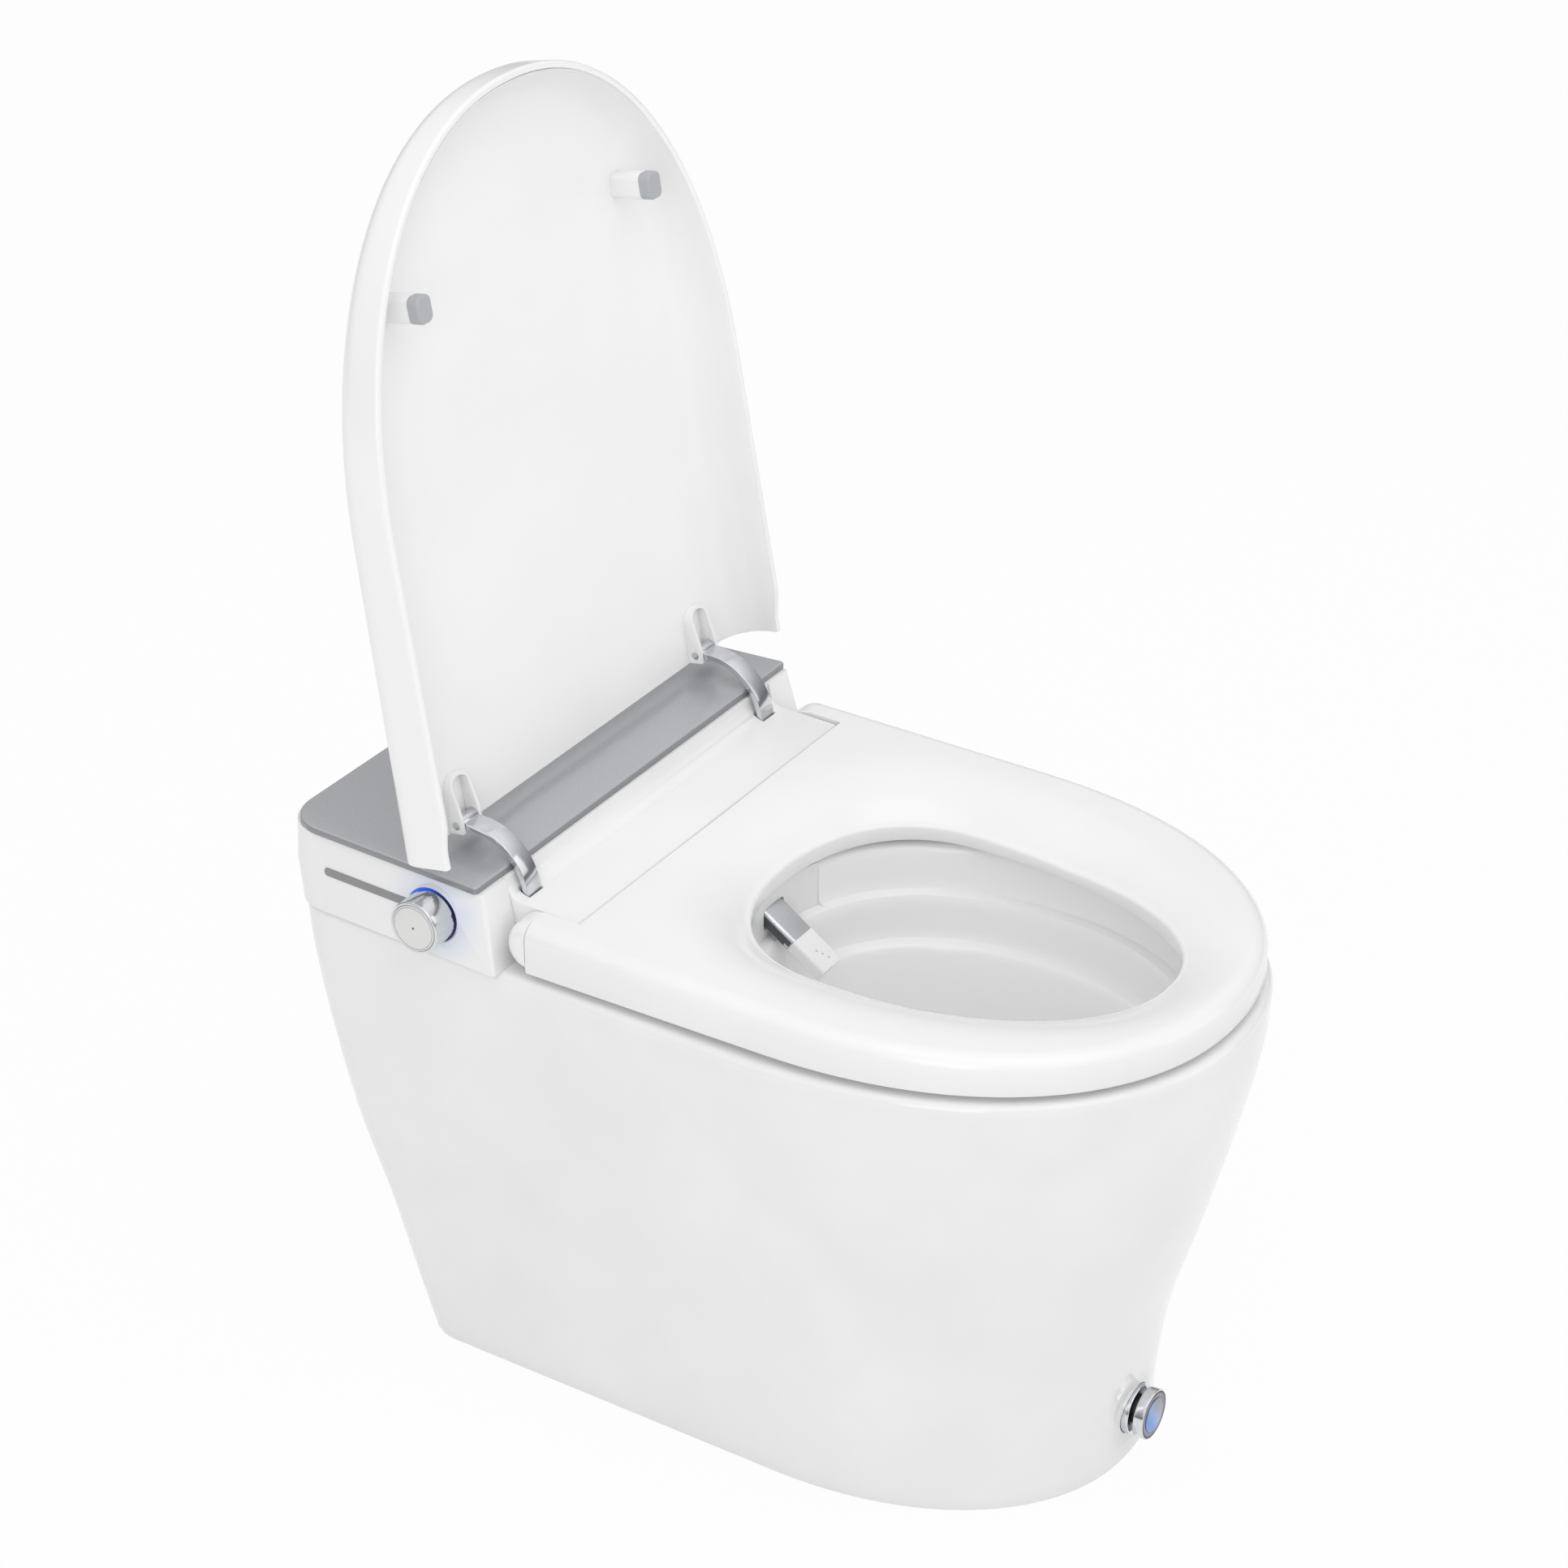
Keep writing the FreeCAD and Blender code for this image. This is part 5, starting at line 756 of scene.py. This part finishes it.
# Light ring behind the knob: a frosted acrylic disc with a pale rim, glued into the cheek. It is navy where no
# lamp stands behind it and blue where one shines through.
RING_RIM, RIM_FADE, LIT_START, LIT_END = 0.0207, 0.0002, -0.013, 0.006
glow, tree = blank_finish("lit_blue_acrylic")
place = add(tree, "ShaderNodeTexCoord").outputs["Object"]
flat = add(tree, "ShaderNodeMapping", {"Vector": place, "Location": (0, -KNOB_MIDDLE[1], -KNOB_MIDDLE[2]),
                                       "Scale": (0, 1, 1)})
away = add(tree, "ShaderNodeVectorMath", {0: flat.outputs["Vector"]}, operation="LENGTH")
rim = add(tree, "ShaderNodeMapRange", {"Value": away.outputs["Value"], "From Min": RING_RIM,
                                       "From Max": RING_RIM + RIM_FADE})
side = add(tree, "ShaderNodeSeparateXYZ", {"Vector": flat.outputs["Vector"]})
lit = add(tree, "ShaderNodeMapRange", {"Value": side.outputs["Y"], "From Min": LIT_START, "From Max": LIT_END},
          interpolation_type="SMOOTHSTEP")
shades = []
for unlit, shining, frosted in (("#1A2450", "#2C5FD8", "#E6EAF8"), ("#000000", "#2C5FD8", "#000000")):
    disc = add(tree, "ShaderNodeMix", {"Factor": lit.outputs["Result"], "A": linear(unlit), "B": linear(shining)},
               data_type="RGBA")
    shades.append(add(tree, "ShaderNodeMix", {"Factor": rim.outputs["Result"], "A": disc, "B": linear(frosted)},
                      data_type="RGBA"))
acrylic = add(tree, "ShaderNodeBsdfPrincipled", {"Base Color": shades[0], "Roughness": 0.25,
                                                 "Emission Color": shades[1], "Emission Strength": 0.35})
add(tree, "ShaderNodeOutputMaterial", {"Surface": acrylic})
dressed("led_ring", "blue_light_ring", glow, 0.15)

# Knob: a zinc barrel, cast, polished and chrome plated as the arms are. It turns on the black moulded switch block
# that is fixed inside the cheek.
dressed("knob_barrel", "turning_knob", chrome, 0.2)
dressed("knob_encoder", "knob_encoder_moulding", black, GEAR_EDGE)

# Face of the knob: a bright spun aluminium disc with a fine turned ring and a centre mark, glued into the barrel.
# Spinning leaves fine circles that make it pale and only half sharp.
FACE_REACH, SPUN_LINES = 0.020, 0.0006
FACE_TINTS = ((0.035, "#66635F"), (0.06, "#E4E4E2"), (0.765, "#E2E2E0"), (0.78, "#B3B2AF"), (0.8, "#B3B2AF"),
              (0.815, "#E2E2E0"), (0.87, "#DCDCDA"), (0.9, "#8F8C88"))
spun, tree = blank_finish("spun_aluminium")
place = add(tree, "ShaderNodeTexCoord").outputs["Object"]
flat = add(tree, "ShaderNodeMapping", {"Vector": place, "Location": (0, -KNOB_MIDDLE[1], -KNOB_MIDDLE[2]),
                                       "Scale": (0, 1, 1)})
away = add(tree, "ShaderNodeVectorMath", {0: flat.outputs["Vector"]}, operation="LENGTH")
share = add(tree, "ShaderNodeMath", {0: away.outputs["Value"], 1: FACE_REACH}, operation="DIVIDE")
tint = add(tree, "ShaderNodeValToRGB", {"Fac": share.outputs[0]},
           stops=[(at, linear(code)) for at, code in FACE_TINTS])
turned = add(tree, "ShaderNodeTexNoise", {"Vector": flat.outputs["Vector"], "Scale": 1 / SPUN_LINES, "Detail": 2})
haze = add(tree, "ShaderNodeMapRange", {"Value": turned.outputs["Fac"], "To Min": 0.34, "To Max": 0.46})
disc = add(tree, "ShaderNodeBsdfPrincipled", {"Base Color": tint.outputs["Color"], "Metallic": 0.35,
                                              "Roughness": haze.outputs["Result"]})
add(tree, "ShaderNodeOutputMaterial", {"Surface": disc})
dressed("knob_face", "pressing_knob_face", spun, 0.2)

# Foot button's collar, plunger and switch: a chrome-plated zinc collar glued into the pan, a black moulded plunger
# that slides in it, and the black switch behind.
dressed("foot_collar", "foot_button_collar", chrome, 0.2)
for node in ("foot_plunger", "foot_switch"):
    dressed(node, node + "_moulding", black, GEAR_EDGE)

# Foot button's cap: the same plate over zinc, pressed on the plunger, with a smoke-grey face round the lens and
# a black ring painted where that is let in: painted shadow, standing in for the shade of the groove there.
CAP_REACH, PAINTED_SHADOW_BLACK = 0.020, "#1E1F22"
# Painted shadow: the black band of the ramp, from 0.83 to 0.885 of the reach.
CAP_TINTS = ((0.82, "#83848E"), (0.83, PAINTED_SHADOW_BLACK), (0.885, PAINTED_SHADOW_BLACK), (0.90, CHROME))
smoked, tree = blank_finish("chrome_plate_with_smoked_face_and_painted_shadow_line")
place = add(tree, "ShaderNodeTexCoord").outputs["Object"]
flat = add(tree, "ShaderNodeMapping", {"Vector": place, "Location": (0, 0, -FOOT_AXIS[2] / 1000),
                                       "Scale": (1, 0, 1)})
away = add(tree, "ShaderNodeVectorMath", {0: flat.outputs["Vector"]}, operation="LENGTH")
share = add(tree, "ShaderNodeMath", {0: away.outputs["Value"], 1: CAP_REACH}, operation="DIVIDE")
tint = add(tree, "ShaderNodeValToRGB", {"Fac": share.outputs[0]},
           stops=[(at, linear(code)) for at, code in CAP_TINTS])
polish = add(tree, "ShaderNodeTexNoise", {"Vector": place, "Scale": 1 / POLISH_SIZE, "Detail": 3})
haze = add(tree, "ShaderNodeMapRange", {"Value": polish.outputs["Fac"], "To Min": 0.08, "To Max": 0.14})
plate = add(tree, "ShaderNodeBsdfPrincipled", {"Base Color": tint.outputs["Color"], "Metallic": 1.0,
                                               "Roughness": haze.outputs["Result"]})
add(tree, "ShaderNodeOutputMaterial", {"Surface": plate})
dressed("foot_cap", "foot_button_cap", smoked, 0.2)

# Lens of the foot button: polished polycarbonate, clipped into the cap. Its blue is a painted glow: one half is
# painted blue as if a lamp shone through it from one side, and the other falls off to grey; no lamp stands behind
# it.
PAINTED_GLOW_TILT, PAINTED_GLOW_REACH = (0.8, 0, 0.6), 0.010
painted_glow_middle = PAINTED_GLOW_TILT[2] * FOOT_AXIS[2] / 1000
lens, tree = blank_finish("polycarbonate_with_painted_blue_glow")
place = add(tree, "ShaderNodeTexCoord").outputs["Object"]
slant = add(tree, "ShaderNodeVectorMath", {0: place, 1: PAINTED_GLOW_TILT}, operation="DOT_PRODUCT")
across = add(tree, "ShaderNodeMapRange", {"Value": slant.outputs["Value"], "From Min": painted_glow_middle - PAINTED_GLOW_REACH,
                                          "From Max": painted_glow_middle + PAINTED_GLOW_REACH})
# Painted glow: blue across one half of the lens, fading to grey across the other.
tint = add(tree, "ShaderNodeValToRGB", {"Fac": across.outputs["Result"]},
           stops=((0.15, linear("#5F8FDC")), (0.5, linear("#86A4DA")), (0.85, linear("#8A8B9C"))))
clear = add(tree, "ShaderNodeBsdfPrincipled", {"Base Color": tint.outputs["Color"], "Roughness": 0.1, "IOR": 1.58})
add(tree, "ShaderNodeOutputMaterial", {"Surface": clear})
dressed("foot_lens", "foot_button_lens", lens, 0.1)

# Camera: it stands to the front left and looks down at the bowl, as the photograph does, through a long lens.
# Its place is in metres, found from the straight and level edges of the object.
AIM, DISTANCE = Vector((0.0956, 0.0584, 0.4007)), 2.8563
AZIMUTH, ELEVATION = math.radians(-58.22), math.radians(28.93)
PHOTO_WIDTH, FOCAL_PIXELS, SENSOR = 1932, 4838.25, 36
bpy.ops.object.camera_add()
camera = bpy.context.object
camera.data.lens = FOCAL_PIXELS / PHOTO_WIDTH * SENSOR
camera.data.sensor_width = SENSOR
level = math.cos(ELEVATION)
back = Vector((math.sin(AZIMUTH) * level, -math.cos(AZIMUTH) * level, math.sin(ELEVATION)))
camera.location = AIM + back * DISTANCE
camera.rotation_euler = back.to_track_quat("Z", "Y").to_euler()
bpy.context.scene.camera = camera

# Studio floor: a broad sheet of pale matt paper. It is near white to the camera and in reflections, and keeps the
# object's shadow.
FLOOR_SIZE, FLOOR_WHITE = 12, 0.94
bpy.ops.mesh.primitive_plane_add(size=FLOOR_SIZE)
floor = bpy.context.object
floor.name = "studio_floor"
paper, tree = blank_finish("pale_studio_floor")
path = add(tree, "ShaderNodeLightPath")
seen = add(tree, "ShaderNodeMath", {0: path.outputs["Is Camera Ray"], 1: path.outputs["Is Glossy Ray"]},
           operation="MAXIMUM")
seen = add(tree, "ShaderNodeMath", {0: seen.outputs[0], 1: path.outputs["Is Transmission Ray"]},
           operation="MAXIMUM")
share = add(tree, "ShaderNodeMath", {0: seen.outputs[0], 1: FLOOR_WHITE}, operation="MULTIPLY")
matt = add(tree, "ShaderNodeBsdfDiffuse", {"Color": linear("#F2F2F2")})
white = add(tree, "ShaderNodeEmission", {"Color": linear("#FFFFFF"), "Strength": 1.0})
both = add(tree, "ShaderNodeMixShader", {0: share.outputs[0], 1: matt.outputs[0], 2: white.outputs[0]})
add(tree, "ShaderNodeOutputMaterial", {"Surface": both})
floor.data.materials.append(paper)

# Studio air: even soft light from all round, a little stronger from above. The camera sees it white, and gloss
# mirrors a tent that is darker towards the floor.
AIR_LOW, AIR_HIGH = 0.66, 0.80
TENT = ((0.05, (0.2, 0.2, 0.205, 1)), (0.4, (0.5, 0.5, 0.51, 1)), (0.75, (1, 1, 1, 1)))
world = bpy.data.worlds.new("studio")
bpy.context.scene.world = world
world.use_nodes = True
tree = world.node_tree
tree.nodes.clear()
path = add(tree, "ShaderNodeLightPath")
seen = add(tree, "ShaderNodeMath", {0: path.outputs["Is Camera Ray"], 1: path.outputs["Is Transmission Ray"]},
           operation="MAXIMUM")
way = add(tree, "ShaderNodeSeparateXYZ", {"Vector": add(tree, "ShaderNodeTexCoord").outputs["Generated"]})
level = add(tree, "ShaderNodeMapRange", {"Value": way.outputs["Z"], "To Min": AIR_LOW, "To Max": AIR_HIGH})
tent = add(tree, "ShaderNodeValToRGB", {"Fac": way.outputs["Z"]}, stops=TENT)
plain = add(tree, "ShaderNodeBackground", {"Color": linear("#FFFFFF"), "Strength": 1.0})
air = add(tree, "ShaderNodeBackground", {"Color": linear("#FFFFFF"), "Strength": level.outputs["Result"]})
mirrored = add(tree, "ShaderNodeBackground", {"Color": tent.outputs["Color"], "Strength": 1.0})
unseen = add(tree, "ShaderNodeMixShader", {0: path.outputs["Is Glossy Ray"], 1: air.outputs[0],
                                           2: mirrored.outputs[0]})
both = add(tree, "ShaderNodeMixShader", {0: seen.outputs[0], 1: unseen.outputs[0], 2: plain.outputs[0]})
add(tree, "ShaderNodeOutputWorld", {"Surface": both})


# Studio lamps: a broad soft one above, a tall window-like one at the front left and a weak fill at the front
# right, all at a plain level.
def lamp(name, place, aim, width, height, watts):
    """A rectangular lamp that faces a point; places and sizes in metres."""
    bpy.ops.object.light_add(type="AREA", location=place)
    light = bpy.context.object
    light.name = name
    light.data.shape = "RECTANGLE"
    light.data.size, light.data.size_y = width, height
    light.data.energy = watts
    light.rotation_euler = (Vector(place) - Vector(aim)).to_track_quat("Z", "Y").to_euler()


lamp("soft_top", (-0.6, -0.8, 3.0), (0, 0, 0.4), 2.6, 2.6, 16)
lamp("tall_window", (-2.4, -0.9, 1.5), (0, 0, 0.5), 1.0, 1.6, 10)
lamp("weak_fill", (1.3, -2.5, 1.5), (0, 0.1, 0.6), 1.6, 1.6, 6)

bpy.context.scene.view_settings.view_transform = "Standard"
